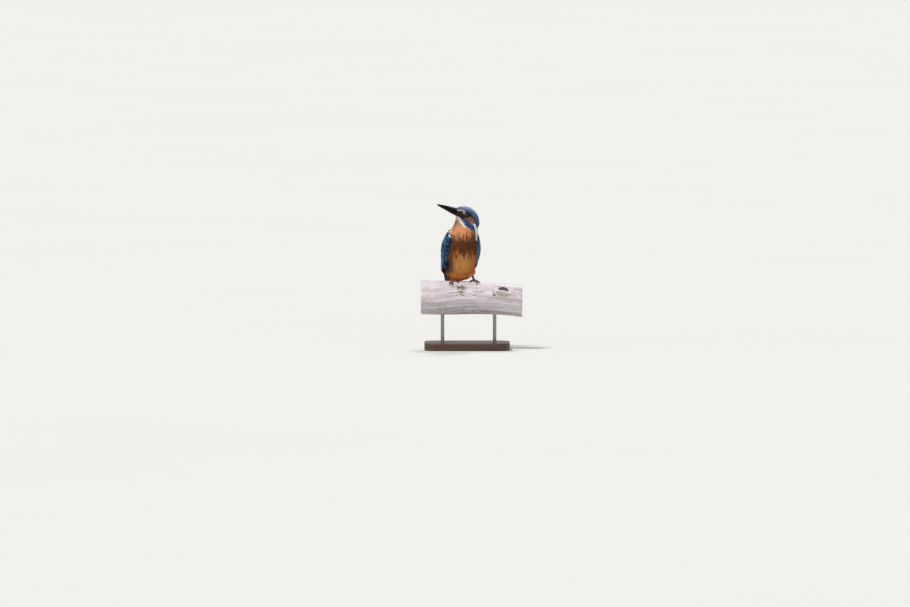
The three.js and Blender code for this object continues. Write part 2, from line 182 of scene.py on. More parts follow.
def solid(name):
    """A CAD node's corners in millimetres, each only once, and its triangles."""
    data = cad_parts[name].data
    data.calc_loop_triangles()
    points = corners_of(data)
    triangles = read(data.loop_triangles, "vertices", 3, np.int32)
    _, first, place_of = np.unique(points.round(3), axis=0, return_index=True, return_inverse=True)
    triangles = place_of.reshape(-1)[triangles]
    whole = (triangles != np.roll(triangles, 1, axis=1)).all(axis=1)
    return points[first].astype(float), triangles[whole]


def stacked(parts):
    """Several (corners, faces) as one."""
    points, faces, count = [], [], 0
    for part_points, part_faces in parts:
        points.append(part_points)
        faces.append(part_faces + count)
        count += len(part_points)
    return np.concatenate(points), np.concatenate(faces)


def triangles_of(quads):
    return np.concatenate([quads[:, :3], quads[:, [0, 2, 3]]])


def squares_of(grid):
    """The four-sided faces between the corners of a grid."""
    return joined(grid[:-1, :-1], grid[1:, :-1], grid[1:, 1:], grid[:-1, 1:]).reshape(-1, 4)


def face_vectors(points, triangles):
    """A vector square to each triangle, twice its area long."""
    a, b, c = (points[triangles[:, i]] for i in range(3))
    return np.cross(b - a, c - a)


def corner_sums(triangles, vectors, count):
    """For each corner, the sum of the vectors of the triangles round it."""
    total = np.zeros((count, 3))
    for corner, axis in np.ndindex(3, 3):
        total[:, axis] += np.bincount(triangles[:, corner], vectors[:, axis], count)
    return total


def corner_normals(points, triangles):
    return unit(corner_sums(triangles, face_vectors(points, triangles), len(points)))


def grown(part, by):
    points, triangles = part
    return points + corner_normals(points, triangles) * by, triangles


def new_mesh(name, points, face_sets):
    """A smooth-shaded mesh from corners in millimetres and arrays of faces, each array of one kind."""
    loops = np.concatenate([faces.ravel() for faces in face_sets])
    counts = np.concatenate([np.full(len(faces), faces.shape[1]) for faces in face_sets])
    starts = np.cumsum(counts) - counts
    mesh = bpy.data.meshes.new(name)
    mesh.vertices.add(len(points))
    mesh.vertices.foreach_set("co", (points * MM).astype(np.float32).ravel())
    mesh.loops.add(len(loops))
    mesh.loops.foreach_set("vertex_index", loops.astype(np.int32))
    mesh.polygons.add(len(starts))
    mesh.polygons.foreach_set("loop_start", starts.astype(np.int32))
    mesh.update(calc_edges=True)
    mesh.shade_smooth()
    return mesh


def new_object(mesh):
    piece = bpy.data.objects.new(mesh.name, mesh)
    bpy.context.scene.collection.objects.link(piece)
    return piece


def keep(mesh, name, values, kind):
    """Stores values on a mesh's corners under a name that its material reads."""
    key = {"FLOAT": "value", "FLOAT_VECTOR": "vector", "FLOAT_COLOR": "color"}[kind]
    if kind == "FLOAT_COLOR":
        values = np.concatenate([values, np.ones((len(values), 1))], axis=1)
    layer = mesh.attributes.new(name, kind, "POINT")
    layer.data.foreach_set(key, values.astype(np.float32).ravel())


def piece_of(mesh, material, slot, *nodes):
    """The mesh as a finished piece that rides with the model, in place of the CAD nodes given."""
    mesh.materials.append(material)
    piece = new_object(mesh)
    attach(piece, "root")
    if nodes:
        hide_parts(*nodes)
    return piece


def corners_of(mesh):
    """A mesh's corners in millimetres."""
    return read(mesh.vertices, "co", 3, np.float32) / MM


def modified(name, part, kind, **settings):
    """The mesh that a modifier makes of (corners, triangles)."""
    points, triangles = part
    rough = new_object(new_mesh("rough", points, [triangles]))
    modifier = rough.modifiers.new(name, kind)
    for key, value in settings.items():
        setattr(modifier, key, value)
    mesh = bpy.data.meshes.new_from_object(rough.evaluated_get(bpy.context.evaluated_depsgraph_get()))
    mesh.name = name
    old = rough.data
    bpy.data.objects.remove(rough)
    bpy.data.meshes.remove(old)
    return mesh


def fused(parts, voxel):
    """One closed surface round several closed ones, as corners and four-sided faces."""
    mesh = modified("fused", stacked(parts), "REMESH", mode="VOXEL", voxel_size=voxel * MM)
    points = corners_of(mesh)
    faces = read(mesh.loops, "vertex_index", 1, np.int32).reshape(-1, 4)
    bpy.data.meshes.remove(mesh)
    return points.astype(float), faces


def sides_of(faces):
    """Each edge of the faces once, as pairs of corners."""
    pairs = np.concatenate([faces[:, [i, (i + 1) % faces.shape[1]]] for i in range(faces.shape[1])])
    return np.unique(np.sort(pairs, axis=1), axis=0)


def neighbour_sum(values, edges):
    """For each corner, the sum of a value over the corners next to it."""
    count = len(values)
    columns = values.reshape(count, -1)
    total = np.empty_like(columns)
    for axis in range(columns.shape[1]):
        column = columns[:, axis]
        total[:, axis] = (np.bincount(edges[:, 0], column[edges[:, 1]], count)
                          + np.bincount(edges[:, 1], column[edges[:, 0]], count))
    return total.reshape(values.shape)


def relaxed(values, edges, rounds, keep_size=True):
    """Values or points evened out over the surface. keep_size undoes each step's shrinking."""
    degree = np.bincount(edges.ravel(), minlength=len(values)).astype(float)
    degree = degree.reshape((-1,) + (1,) * (values.ndim - 1))
    for turn in range(rounds * 2 if keep_size else rounds):
        pull = -0.53 if keep_size and turn % 2 else 0.5
        values = values + pull * (neighbour_sum(values, edges) / degree - values)
    return values


def tree_of(points, faces):
    return BVHTree.FromPolygons(points.tolist(), faces.tolist())


def points_tree(points):
    """Finds the nearest of some points."""
    tree = KDTree(len(points))
    for place, point in enumerate(points.tolist()):
        tree.insert(point, place)
    tree.balance()
    return tree


# -------- where the solids are
def box_of(name):
    return [np.array(corner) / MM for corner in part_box(name)]


def middle(name):
    return np.array(sum(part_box(name), Vector()) / 2) / MM


class HeadFrame:
    """Places on the head: how far behind the eyes, towards the bird's left, and up."""

    def __init__(self):
        left = middle("eye_left")
        right = middle("eye_right")
        self.middle = (left + right) / 2
        self.side = unit(left - right)
        bill = solid("bill_upper")[0] - self.middle
        ahead = bill[dot(bill, bill).argmax()]
        ahead = ahead - self.side * (ahead @ self.side)
        self.bill_tip = np.linalg.norm(ahead)
        self.ahead = unit(ahead)
        self.up = np.cross(self.ahead, self.side)

    def place(self, points):
        away = points - self.middle
        return -away @ self.ahead, away @ self.side, away @ self.up

    def point(self, behind, side, up):
        shape = np.broadcast(behind, side, up).shape
        behind, side, up = (np.broadcast_to(v, shape)[..., None] for v in (behind, side, up))
        return self.middle - behind * self.ahead + side * self.side + up * self.up


class BodyFrame:
    """Places on the body: the turn in degrees from the breast's middle to the bird's left, and the height."""

    def __init__(self):
        tail = solid("tail")[0]
        order = tail[:, 2].argsort()
        quarter = len(tail) // 4
        drop = tail[order[:quarter]].mean(0) - tail[order[-quarter:]].mean(0)
        self.back = unit(drop * (1, 1, 0))
        self.left = np.cross(self.back, (0, 0, 1))
        trunk = solid("trunk")[0]
        self.low = trunk[:, 2].min()
        self.high = trunk[:, 2].max()
        self.bend = [np.polyfit(trunk[:, 2], trunk[:, axis], 2) for axis in (0, 1)]

    def place(self, points):
        height = np.clip(points[:, 2], self.low, self.high)
        centre = np.stack([np.polyval(bend, height) for bend in self.bend], axis=1)
        away = points[:, :2] - centre
        ahead = -away @ self.back[:2]
        return np.degrees(np.arctan2(away @ self.left[:2], ahead)), points[:, 2]


HEAD = HeadFrame()
BODY = BodyFrame()


# -------- settings
def number(name, default, description, **limits):
    return FloatProperty(name=name, description=description, default=default, **limits)


def length(name, default, description):
    return number(name, default, description, min=0, precision=5, unit="LENGTH")


def colour(name, default, description):
    return FloatVectorProperty(name=name, description=description, default=linear(default),
                               min=0, max=1, size=3, subtype="COLOR")


class KingfisherPlumage(bpy.types.PropertyGroup):
    """Sizes and colours of the skin and every feather."""
    face_depth: length("Coat on the face", 0.0004, "How far the skin lies under the feathers by the bill")
    head_depth: length("Coat on the head", 0.0010, "How far the skin lies under the feathers of the crown")
    body_depth: length("Coat on the body", 0.0016, "How far the skin lies under the feathers of the body")
    wing_depth: length("Coat on the wings", 0.0009, "How far the skin lies under the wing's coverts")
    crowding: number("Crowding", 1.0, "Feathers for each one in the plain coat", min=0.2, max=1.4)
    seed: IntProperty(name="Seed", description="Which scattering of the feathers is made", default=11)
    crown: colour("Cap", "1d3f70", "Dark blue of the crown and nape")
    # Nape is the colour of painted shade on the cap: the cap's back and its lower edge shown darker.
    nape: colour("Nape", "0d2140", "Darker blue of the back of the neck")
    # Cap bars is also the colour of the painted highlight on the top of the cap.
    crown_bar: colour("Cap bars", "93b4e4", "Pale bars on the crown and spots behind the eye")
    malar: colour("Moustache", "1b4674", "Blue stripe from the bill to the side of the neck")
    ear: colour("Ear patch", "96603f", "Orange behind the eye")
    lore: colour("Lore", "b69a90", "Buff spot before the eye")
    line: colour("Loral line", "05060a", "Black line from the bill to the eye")
    white: colour("Neck patch", "efe9e4", "White on the side of the neck")
    # Throat is the pale throat darkened with painted shade, as it lies in shade under the head.
    throat: colour("Throat", "a98c6b", "Tan of the chin and throat")
    cream: colour("Cream line", "e3d4c6", "Cream edge of the throat, under the moustache")
    breast: colour("Upper breast", "d6905f", "Salmon of the upper breast")
    # Dusky is also painted shade: on the sides of the underside, along the left flank's edge and in the dip
    # before each wing.
    dusky: colour("Dusky band", "321709", "Brown of the lower edge of the breast")
    belly: colour("Belly", "a85814", "Orange of the belly and flanks")
    belly_light: colour("Middle of the belly", "cb9454", "Tan of the middle of the belly")
    # Lower flank is the colour of a painted highlight: the lit lower edge of the flank shown paler.
    flank: colour("Lower flank", "dcb48a", "Pale feathers below the closed wing")
    mantle: colour("Shoulders", "13344f", "Blue-green of the shoulder feathers")
    azure: colour("Back", "2ba3dc", "Bright blue stripe down the back and rump")
    wing: colour("Wing coverts", "0e2d49", "Blue-green of the small wing feathers")
    # Wing spots is also the colour of the painted highlight on the front edge of the bird's left wing.
    wing_spot: colour("Wing spots", "62a3d6", "Pale spots at the tips of the wing coverts")
    flight: colour("Flight feathers", "0f1d2d", "Dark webs of the flight feathers")
    flight_edge: colour("Flight feather edges", "2f6797", "Blue outer webs of the flight feathers")
    tail: colour("Tail", "1c3f7c", "Blue of the tail")


class KingfisherBareParts(bpy.types.PropertyGroup):
    """Colours of the bill, eyes, feet and claws."""
    bill: colour("Bill", "070609", "Black of the bill")
    # The Bill ridge colour is a painted reflection: lilac glare on the black horn of the ridge.
    bill_ridge_glare: colour("Bill ridge", "716a8c", "Lilac cast on the ridge of the bill")
    iris: colour("Iris", "1d0f0a", "Dark brown of the iris")
    lid: colour("Eyelid", "17130f", "Bare rim of the eyelids")
    lid_width: length("Eyelid width", 0.00042, "Half the width of the rim round each eye")
    foot: colour("Foot", "94616a", "Dusky pink of the toes and shank")
    foot_scute: colour("Foot scutes", "5b3a40", "Darker plates on the front of the toes")
    claw: colour("Claw", "17120f", "Black-brown of the claws")


class KingfisherPerchSettings(bpy.types.PropertyGroup):
    """The driftwood."""
    wood: colour("Wood", "cbc1c5", "Weathered, silvery wood")
    wood_light: colour("Pale streaks", "e9e2e8", "Bleached streaks along the grain")
    wood_dark: colour("Dark streaks", "8b7f80", "Greyer streaks along the grain")
    crack: colour("Cracks", "3b302c", "Inside of the drying cracks and the knot")
    lichen: colour("Lichen", "433f33", "Dark crust before the feet")
    # Cracks also paints the shade inside the knot's pit.
    moss: colour("Moss", "8e9675", "Pale green streak below the crust")
    stain: colour("Knot stain", "9f8d78", "Browner wood on the knot")
    heart: colour("Cut ends", "b59a7c", "Sawn wood of the cut ends")
    groove: length("Grain depth", 0.00035, "Depth of the weathered grain")
    crack_depth: length("Crack depth", 0.0016, "Depth of the drying cracks")


class KingfisherStandSettings(bpy.types.PropertyGroup):
    """The display stand."""
    base: colour("Base", "4a3224", "Stained wood of the base")
    base_dark: colour("Base grain", "2b1c14", "Dark grain of the base")
    rod: colour("Rods", "9a9c9f", "Brushed steel of the two rods")


class KingfisherStageSettings(bpy.types.PropertyGroup):
    """Floor, lights and camera."""
    floor: colour("Floor", "d6d5d2", "Plain pale floor")
    view_width: length("View width", 1.256, "What the picture takes in from side to side, at the bird")
    distance: length("Camera distance", 9.5, "From the camera to the bird")
    elevation: number("Camera elevation", math.radians(3), "How far the camera looks down", subtype="ANGLE")
    backdrop: colour("Backdrop", "f5f4ef", "What shows beyond the floor, as bright as the lit floor")
    key_power: number("Key light", 2.5, "Strength of the high light from the left")
    rim_power: number("Rim light", 1.1, "Strength of the high light from behind")
    fill_power: number("Fill light", 0.42, "Strength of the light from all round")


# -------- node trees
def add(tree, kind, inputs=(), **settings):
    """A node with its settings, and its inputs given as values, colours or other nodes' outputs."""
    node = tree.nodes.new("ShaderNode" + kind)
    for key, value in settings.items():
        setattr(node, key, value)
    for key, value in dict(inputs).items():
        socket = node.inputs[key]
        if isinstance(value, bpy.types.NodeSocket):
            tree.links.new(value, socket)
        elif socket.type == "RGBA":
            socket.default_value = (*value[:3], 1.0)
        else:
            socket.default_value = value
    return node


def blend(tree, amount, first, second, how="MIX"):
    """The colour socket of a Mix node. Its sockets 0, 6 and 7 are the factor and the two colours."""
    node = add(tree, "Mix", {0: amount, 6: first, 7: second}, data_type="RGBA", blend_type=how)
    return node.outputs[2]


def compute(tree, operation, *values):
    return add(tree, "Math", dict(enumerate(values)), operation=operation).outputs[0]


def times(tree, first, second):
    return compute(tree, "MULTIPLY", first, second)


def ranged(tree, value, low, high, to_low=0.0, to_high=1.0):
    """A value's way from low to high as an even curve between two others."""
    inputs = {"Value": value, "From Min": low, "From Max": high, "To Min": to_low, "To Max": to_high}
    return add(tree, "MapRange", inputs, interpolation_type="SMOOTHSTEP").outputs["Result"]


def stored(tree, name, output="Fac"):
    return add(tree, "Attribute", attribute_name=name).outputs[output]


def noise(tree, place, scale, detail, roughness=0.5, distortion=0.0):
    more = {"Detail": detail, "Roughness": roughness, "Distortion": distortion}
    return add(tree, "TexNoise", {"Vector": place, "Scale": scale, **more}).outputs["Fac"]


def stretched(tree, place, scale):
    return add(tree, "Mapping", {"Vector": place, "Scale": scale}).outputs["Vector"]


def shaded(tree, colour, shade):
    """A colour times a value."""
    grey = add(tree, "CombineColor", {"Red": shade, "Green": shade, "Blue": shade}).outputs["Color"]
    return blend(tree, 1.0, colour, grey, "MULTIPLY")


def new_group(name, inputs, outputs):
    """An empty shader node group. inputs maps a name to its default, and outputs maps one to its kind."""
    tree = bpy.data.node_groups.new(name, "ShaderNodeTree")
    for key, default in inputs.items():
        kind = {0: "Float", 3: "Vector", 4: "Color"}[np.size(default) if np.ndim(default) else 0]
        socket = tree.interface.new_socket(name=key, in_out="INPUT", socket_type="NodeSocket" + kind)
        socket.default_value = default
    for key, kind in outputs.items():
        tree.interface.new_socket(name=key, in_out="OUTPUT", socket_type="NodeSocket" + kind)
    return tree, tree.nodes.new("NodeGroupInput").outputs, tree.nodes.new("NodeGroupOutput").inputs


GREY = (0.5, 0.5, 0.5, 1)
ORIGIN = (0, 0, 0)


def barbs_group():
    """The barbs and shaft of a feather, from its vane attribute: along and across it in mm, then its lie."""
    tree, given, result = new_group(
        "Feather barbs",
        {"Colour": GREY, "Vane": ORIGIN, "Tint": 0.5, "Barb spacing": 0.5, "Barb strength": 0.25,
         "Shaft strength": 0.3},
        {"Colour": "Color", "Height": "Float"})
    vane = add(tree, "SeparateXYZ", {"Vector": given["Vane"]}).outputs
    aside = compute(tree, "ABSOLUTE", vane["Y"])
    slant = compute(tree, "MULTIPLY_ADD", aside, -1.3, vane["X"])
    turns = compute(tree, "DIVIDE", slant, given["Barb spacing"])
    wave = compute(tree, "SINE", times(tree, turns, 2 * math.pi))
    wave = compute(tree, "MULTIPLY_ADD", wave, 0.5, 0.5)
    shaft = ranged(tree, aside, 0.02, 0.16, 1.0, 0.0)
    dark = times(tree, wave, given["Barb strength"])
    dark = compute(tree, "MAXIMUM", dark, times(tree, shaft, given["Shaft strength"]))
    shade = compute(tree, "SUBTRACT", 1.0, dark)
    shade = times(tree, shade, ranged(tree, given["Tint"], 0.0, 1.0, 0.93, 1.07))
    # Painted shade: each feather darker towards its root, where the feathers above cover it.
    shade = times(tree, shade, ranged(tree, vane["Z"], 0.0, 0.7, 0.82, 1.0))
    tree.links.new(shaded(tree, given["Colour"], shade), result["Colour"])
    tree.links.new(compute(tree, "MULTIPLY_ADD", shaft, 0.8, wave), result["Height"])
    return tree


def mottling_group():
    """Soft lighter and darker patches over a colour, with the patches as a mask."""
    tree, given, result = new_group(
        "Mottling",
        {"Colour": GREY, "Place": ORIGIN, "Patches per metre": 400.0, "Darkest": 0.85, "Lightest": 1.1},
        {"Colour": "Color", "Patches": "Float"})
    patches = ranged(tree, noise(tree, given["Place"], given["Patches per metre"], 4.0, 0.6), 0.3, 0.7)
    contrast = compute(tree, "SUBTRACT", given["Lightest"], given["Darkest"])
    shade = compute(tree, "MULTIPLY_ADD", patches, contrast, given["Darkest"])
    tree.links.new(shaded(tree, given["Colour"], shade), result["Colour"])
    tree.links.new(patches, result["Patches"])
    return tree


def grain_group():
    """Wood grain along the first axis of Place, which is in metres: a colour, and the fibres' height."""
    tree, given, result = new_group(
        "Wood grain",
        {"Place": ORIGIN, "Colour": GREY, "Light": (0.7, 0.7, 0.7, 1), "Dark": (0.2, 0.2, 0.2, 1),
         "Streaks per metre": 120.0},
        {"Colour": "Color", "Height": "Float", "Streaks": "Float"})
    drawn_out = stretched(tree, given["Place"], (0.045, 1.0, 1.0))
    broad = noise(tree, drawn_out, given["Streaks per metre"], 5.0, 0.62, 0.3)
    finer = times(tree, given["Streaks per metre"], 9.0)
    fibres = noise(tree, drawn_out, finer, 3.0, 0.7)
    pale = blend(tree, ranged(tree, broad, 0.48, 0.66), given["Colour"], given["Light"])
    dark = times(tree, ranged(tree, broad, 0.46, 0.30), 0.85)
    streaked = blend(tree, dark, pale, given["Dark"])
    fine = times(tree, ranged(tree, fibres, 0.47, 0.33), 0.5)
    height = compute(tree, "MULTIPLY_ADD", broad, 0.6, times(tree, fibres, 0.6))
    tree.links.new(blend(tree, fine, streaked, given["Dark"]), result["Colour"])
    tree.links.new(height, result["Height"])
    tree.links.new(broad, result["Streaks"])
    return tree


GROUPS = {"Feather barbs": barbs_group, "Mottling": mottling_group, "Wood grain": grain_group}


def use(tree, name, inputs):
    """One of the shared groups, placed in a material with its own values. Each group is built once."""
    group = bpy.data.node_groups.get(name) or GROUPS[name]()
    return add(tree, "Group", inputs, node_tree=group).outputs


def new_material(name, **sockets):
    """A material's tree and its Principled BSDF, with values on the shader's own sockets."""
    material = bpy.data.materials.new(name)
    material.use_nodes = True
    tree = material.node_tree
    tree.nodes.clear()
    shader = tree.nodes.new("ShaderNodeBsdfPrincipled")
    for key, value in sockets.items():
        shader.inputs[key.replace("_", " ")].default_value = value
    add(tree, "OutputMaterial", {"Surface": shader.outputs["BSDF"]})
    return material, tree, shader


def finish(tree, shader, colour=None, roughness=None, bump=None):
    """Links a material's colour, a ranged roughness, and a bump: its height, distance in mm and strength."""
    if colour:
        tree.links.new(colour, shader.inputs["Base Color"])
    if roughness:
        tree.links.new(ranged(tree, *roughness), shader.inputs["Roughness"])
    if bump:
        height, distance, strength = bump
        node = add(tree, "Bump", {"Height": height, "Distance": distance * MM, "Strength": strength})
        tree.links.new(node.outputs["Normal"], shader.inputs["Normal"])


def mottle(tree, shader, colour, patches, shades, roughness=None, bump=None, place=None):
    """Finishes a material with a mottled colour, and with a roughness and a bump that follow its patches."""
    spots = use(tree, "Mottling", {
        "Colour": colour, "Place": object_place(tree) if place is None else place,
        "Patches per metre": patches, "Darkest": shades[0], "Lightest": shades[1]})
    if roughness:
        roughness = (spots["Patches"], 0.0, 1.0, *roughness)
    finish(tree, shader, spots["Colour"], roughness, bump and (spots["Patches"], *bump))


def grained(tree, place, colour, light, dark, streaks):
    colours = {"Colour": colour, "Light": light, "Dark": dark}
    return use(tree, "Wood grain", {"Place": place, "Streaks per metre": streaks, **colours})


def object_place(tree):
    return add(tree, "TexCoord").outputs["Object"]


# Feather materials: from one barb to the next in mm, how dark barbs and shaft are, roughness and sheen.
PLUMAGE = {
    "Head feathers": (0.42, 0.18, 0.10, 0.62, 0.4),
    "Body feathers": (0.42, 0.18, 0.10, 0.66, 0.03),
    "Flight feathers": (0.62, 0.3, 0.5, 0.58, 0.03),
}


def feather_material(name):
    """Plumage on vanes, built once. The mesh holds its colours and the vane attribute that places barbs."""
    found = bpy.data.materials.get(name)
    if found:
        return found
    spacing, barb, shaft, roughness, sheen = PLUMAGE[name]
    material, tree, shader = new_material(
        name, Sheen_Weight=sheen, Sheen_Roughness=0.45, Specular_IOR_Level=0.16)
    vane = use(tree, "Feather barbs", {
        "Colour": stored(tree, "plumage", "Color"), "Vane": stored(tree, "vane", "Vector"),
        "Tint": stored(tree, "tint"), "Barb spacing": spacing, "Barb strength": barb,
        "Shaft strength": shaft})
    glossy = (stored(tree, "gloss"), 0.0, 1.0, roughness, roughness - 0.24)
    finish(tree, shader, vane["Colour"], glossy, (vane["Height"], 0.05, 0.6))
    return material


def skin_material():
    """The down and skin that show between the feathers, with the same markings."""
    material, tree, shader = new_material("Down", Roughness=0.8, Sheen_Weight=0.05)
    mottle(tree, shader, stored(tree, "plumage", "Color"), 900.0, (0.7, 1.05), bump=(0.08, 0.7))
    return material


# -------- the skin
class Skin:
    """The closed surface under the feathers, and what the coat needs to know at each of its corners."""

    def __init__(self, points, quads):
        self.points = points
        self.quads = quads
        self.edges = sides_of(quads)
        self.triangles = triangles_of(quads)
        self.settle()

    def settle(self):
        self.normals = corner_normals(self.points, self.triangles)
        self.tree = tree_of(self.points, self.triangles)

    def measure_run(self, seeds):
        """How far each corner is from the seeds along the surface, and which way the coat lies there."""
        links = np.concatenate([self.edges, self.quads[:, [0, 2]], self.quads[:, [1, 3]]])
        links = np.concatenate([links, links[:, ::-1]])
        links = links[links[:, 0].argsort(kind="stable")]
        first = np.searchsorted(links[:, 0], np.arange(len(self.points) + 1)).tolist()
        reach = span(self.points[links[:, 0]] - self.points[links[:, 1]]).tolist()
        target = links[:, 1].tolist()
        run = [math.inf] * len(self.points)
        queue = [(0.0, int(seed)) for seed in seeds]
        for _, seed in queue:
            run[seed] = 0.0
        while queue:
            here, corner = heapq.heappop(queue)
            if here > run[corner]:
                continue
            for link in range(first[corner], first[corner + 1]):
                there = here + reach[link]
                if there < run[target[link]]:
                    run[target[link]] = there
                    heapq.heappush(queue, (there, target[link]))
        self.run = relaxed(np.array(run), self.edges, 30, keep_size=False)
        self.lie = self.slope_of(self.run)
        for _ in range(12):
            lie = self.lie + neighbour_sum(self.lie, self.edges)
            self.lie = unit(lie - self.normals * dot(lie, self.normals)[:, None])

    def part_round_wings(self):
        """Turns the coat beside each wing along the wing's edge, so that it doesn't cover it."""
        self.near = relaxed(self.wing, self.edges, 30, keep_size=False)
        towards = self.slope_of(self.near)
        into = np.maximum(dot(self.lie, towards), 0) * smooth(0.03, 0.25, self.near) * (1 - self.wing)
        self.lie = unit(self.lie - towards * into[:, None])

    def slope_of(self, values):
        """The direction in which a value grows fastest over the surface."""
        corners = self.points[self.triangles]
        flat = face_vectors(self.points, self.triangles)
        climb = sum(np.cross(flat, corners[:, (i + 2) % 3] - corners[:, (i + 1) % 3])
                    * values[self.triangles[:, i]][:, None] for i in range(3))
        climb = climb / np.maximum(span(flat), 1e-9)[:, None]
        total = corner_sums(self.triangles, climb, len(self.points))
        return unit(total - self.normals * dot(total, self.normals)[:, None])

    def shares(self, points, triangle):
        """How much each corner of its triangle counts at each point."""
        a, b, c = (self.points[self.triangles[triangle, i]] for i in range(3))
        flat = np.cross(b - a, c - a)
        size = np.maximum(dot(flat, flat), 1e-12)
        second = dot(np.cross(points - a, c - a), flat) / size
        third = dot(np.cross(b - a, points - a), flat) / size
        weights = np.clip(np.stack([1 - second - third, second, third], axis=1), 0, 1)
        return weights / weights.sum(1, keepdims=True)

    def value(self, field, triangle, weights):
        values = field[self.triangles[triangle]]
        return (values * weights.reshape(weights.shape + (1,) * (values.ndim - 2))).sum(1)

    def shadow(self, points):
        """For points near the surface, the nearest points on it, the normals there and the coat's lie."""
        found = [self.tree.find_nearest(point) for point in points.tolist()]
        on, triangle = np.array([f[0] for f in found]), np.array([f[2] for f in found])
        weights = self.shares(on, triangle)
        return on, *(unit(self.value(field, triangle, weights)) for field in (self.normals, self.lie))


SKIN_VOXEL = 0.8  # spacing of the skin's corners
FUSE_BY = 0.3  # how far each solid grows, so that the fine cuts between them close
BILL_FACE = 15.0  # how far ahead of the eyes the skin ends, inside the bill
TUCK = {"turn": -92.0, "spread": 40.0, "low": 86.0, "high": 128.0, "depth": 4.6}  # right flank, by the wing
GAP = {"left": 2.6, "right": 1.0, "lowest": 110.0}  # how deep the coat dips before each wing, and how low
EYE_ROOM = 3.35  # radius kept clear of feathers' roots round the middle of each eyeball
EYE_WALL = 3.62  # radius of the skin that covers each eyeball up to its lids
EYE_REACH = 4.0  # skin further out than this stays as it is
DEPTH_STOPS = (8, 26, 55)  # distances from the bill of the coat's depth on face, head and body


def eye_pole(side):
    """The way an eye looks: sideways and a little ahead."""
    return unit(SIDES[side] * HEAD.side + 0.06 * HEAD.ahead)


def nearest_kind(points):
    """Which of the flesh nodes each point belongs to."""
    parts = [solid(name) for name in FLESH]
    tree = tree_of(*stacked(parts))
    kind = np.repeat(np.arange(len(parts)), [len(triangles) for _, triangles in parts])
    return kind[[tree.find_nearest(point)[2] for point in points.tolist()]]


def coat_depths(plumage, run, wing):
    """How far the skin lies under the feathers in mm, by the distance from the bill and the share of wing."""
    stops = np.array((plumage.face_depth, plumage.head_depth, plumage.body_depth)) / MM
    depth = np.interp(run, DEPTH_STOPS, stops)
    return between(depth, plumage.wing_depth / MM, wing)


def grow_skin(plumage):
    """One skin over head, neck, body, thighs and wings, inside them by the depth of the coat."""
    parts = [grown(solid(name), FUSE_BY) for name in (*FLESH, *("eye_" + side for side in SIDES))]
    for name in ("bill_upper", "bill_lower"):
        points, triangles = grown(solid(name), FUSE_BY)
        ahead = (points - HEAD.middle) @ HEAD.ahead
        parts.append((points - np.maximum(ahead - BILL_FACE, 0)[:, None] * HEAD.ahead, triangles))
    points, quads = fused(parts, SKIN_VOXEL)
    points = relaxed(points, sides_of(quads), 7)
    skin = Skin(points, quads)
    skin.kind = nearest_kind(points)
    skin.wing = relaxed((skin.kind >= FLESH.index("wing_left")).astype(float), skin.edges, 2, keep_size=False)
    behind, _, _ = HEAD.place(points)
    skin.measure_run(np.flatnonzero(behind < -BILL_FACE + 0.6))
    skin.part_round_wings()
    body = 1 - skin.wing
    turn, height = BODY.place(points)
    skin.gap = smooth(0.04, 0.32, skin.near) * body * (1 - smooth(98, 110, np.abs(turn)))
    skin.gap *= window(height, GAP["lowest"] - 4, GAP["lowest"] + 4, 150, 157)
    tucked = hill(turn, TUCK["turn"], TUCK["spread"]) * body
    tucked *= window(height, TUCK["low"], TUCK["low"] + 8, TUCK["high"] - 14, TUCK["high"])
    depth = coat_depths(plumage, skin.run, skin.wing) + TUCK["depth"] * tucked
    depth = depth + np.where(turn > 0, GAP["left"], GAP["right"]) * skin.gap
    for side in SIDES:
        low, high = box_of("foot_" + side)
        ankle = (*((low + high) / 2)[:2], high[2])
        depth = depth * smooth(1, 12, span(points - ankle))
    skin.points = skin.points - skin.normals * (depth + FUSE_BY)[:, None]
    for side in SIDES:
        away = skin.points - middle("eye_" + side)
        distance = span(away)
        off_pole = np.degrees(np.arccos(away @ eye_pole(side) / distance))
        opened, covered = np.minimum(distance, EYE_ROOM - 0.6), np.maximum(distance, EYE_WALL)
        wanted = between(opened, covered, smooth(54, 60, off_pole))
        wanted = np.where(distance < EYE_REACH, wanted, distance)
        skin.points = middle("eye_" + side) + away * (wanted / distance)[:, None]
    skin.settle()
    made["skin"] = skin
    mesh = new_mesh("skin", skin.points, [skin.quads])
    keep(mesh, "plumage", skin_look(plumage, skin), "FLOAT_COLOR")
    unwrap(piece_of(mesh, skin_material(), "breast", *FLESH))
    skin.uv = read(mesh.uv_layers["OFBake"].uv, "vector", 2).reshape(-1, 4, 2)


def unwrap(piece):
    """Lays the piece's surface flat as its bake map."""
    piece.data.uv_layers.new(name="OFBake")
    bpy.context.view_layer.objects.active = piece
    piece.select_set(True)
    bpy.ops.object.mode_set(mode="EDIT")
    bpy.ops.mesh.select_all(action="SELECT")
    bpy.ops.uv.smart_project(angle_limit=math.radians(66), island_margin=0.002)
    bpy.ops.object.mode_set(mode="OBJECT")
    piece.select_set(False)


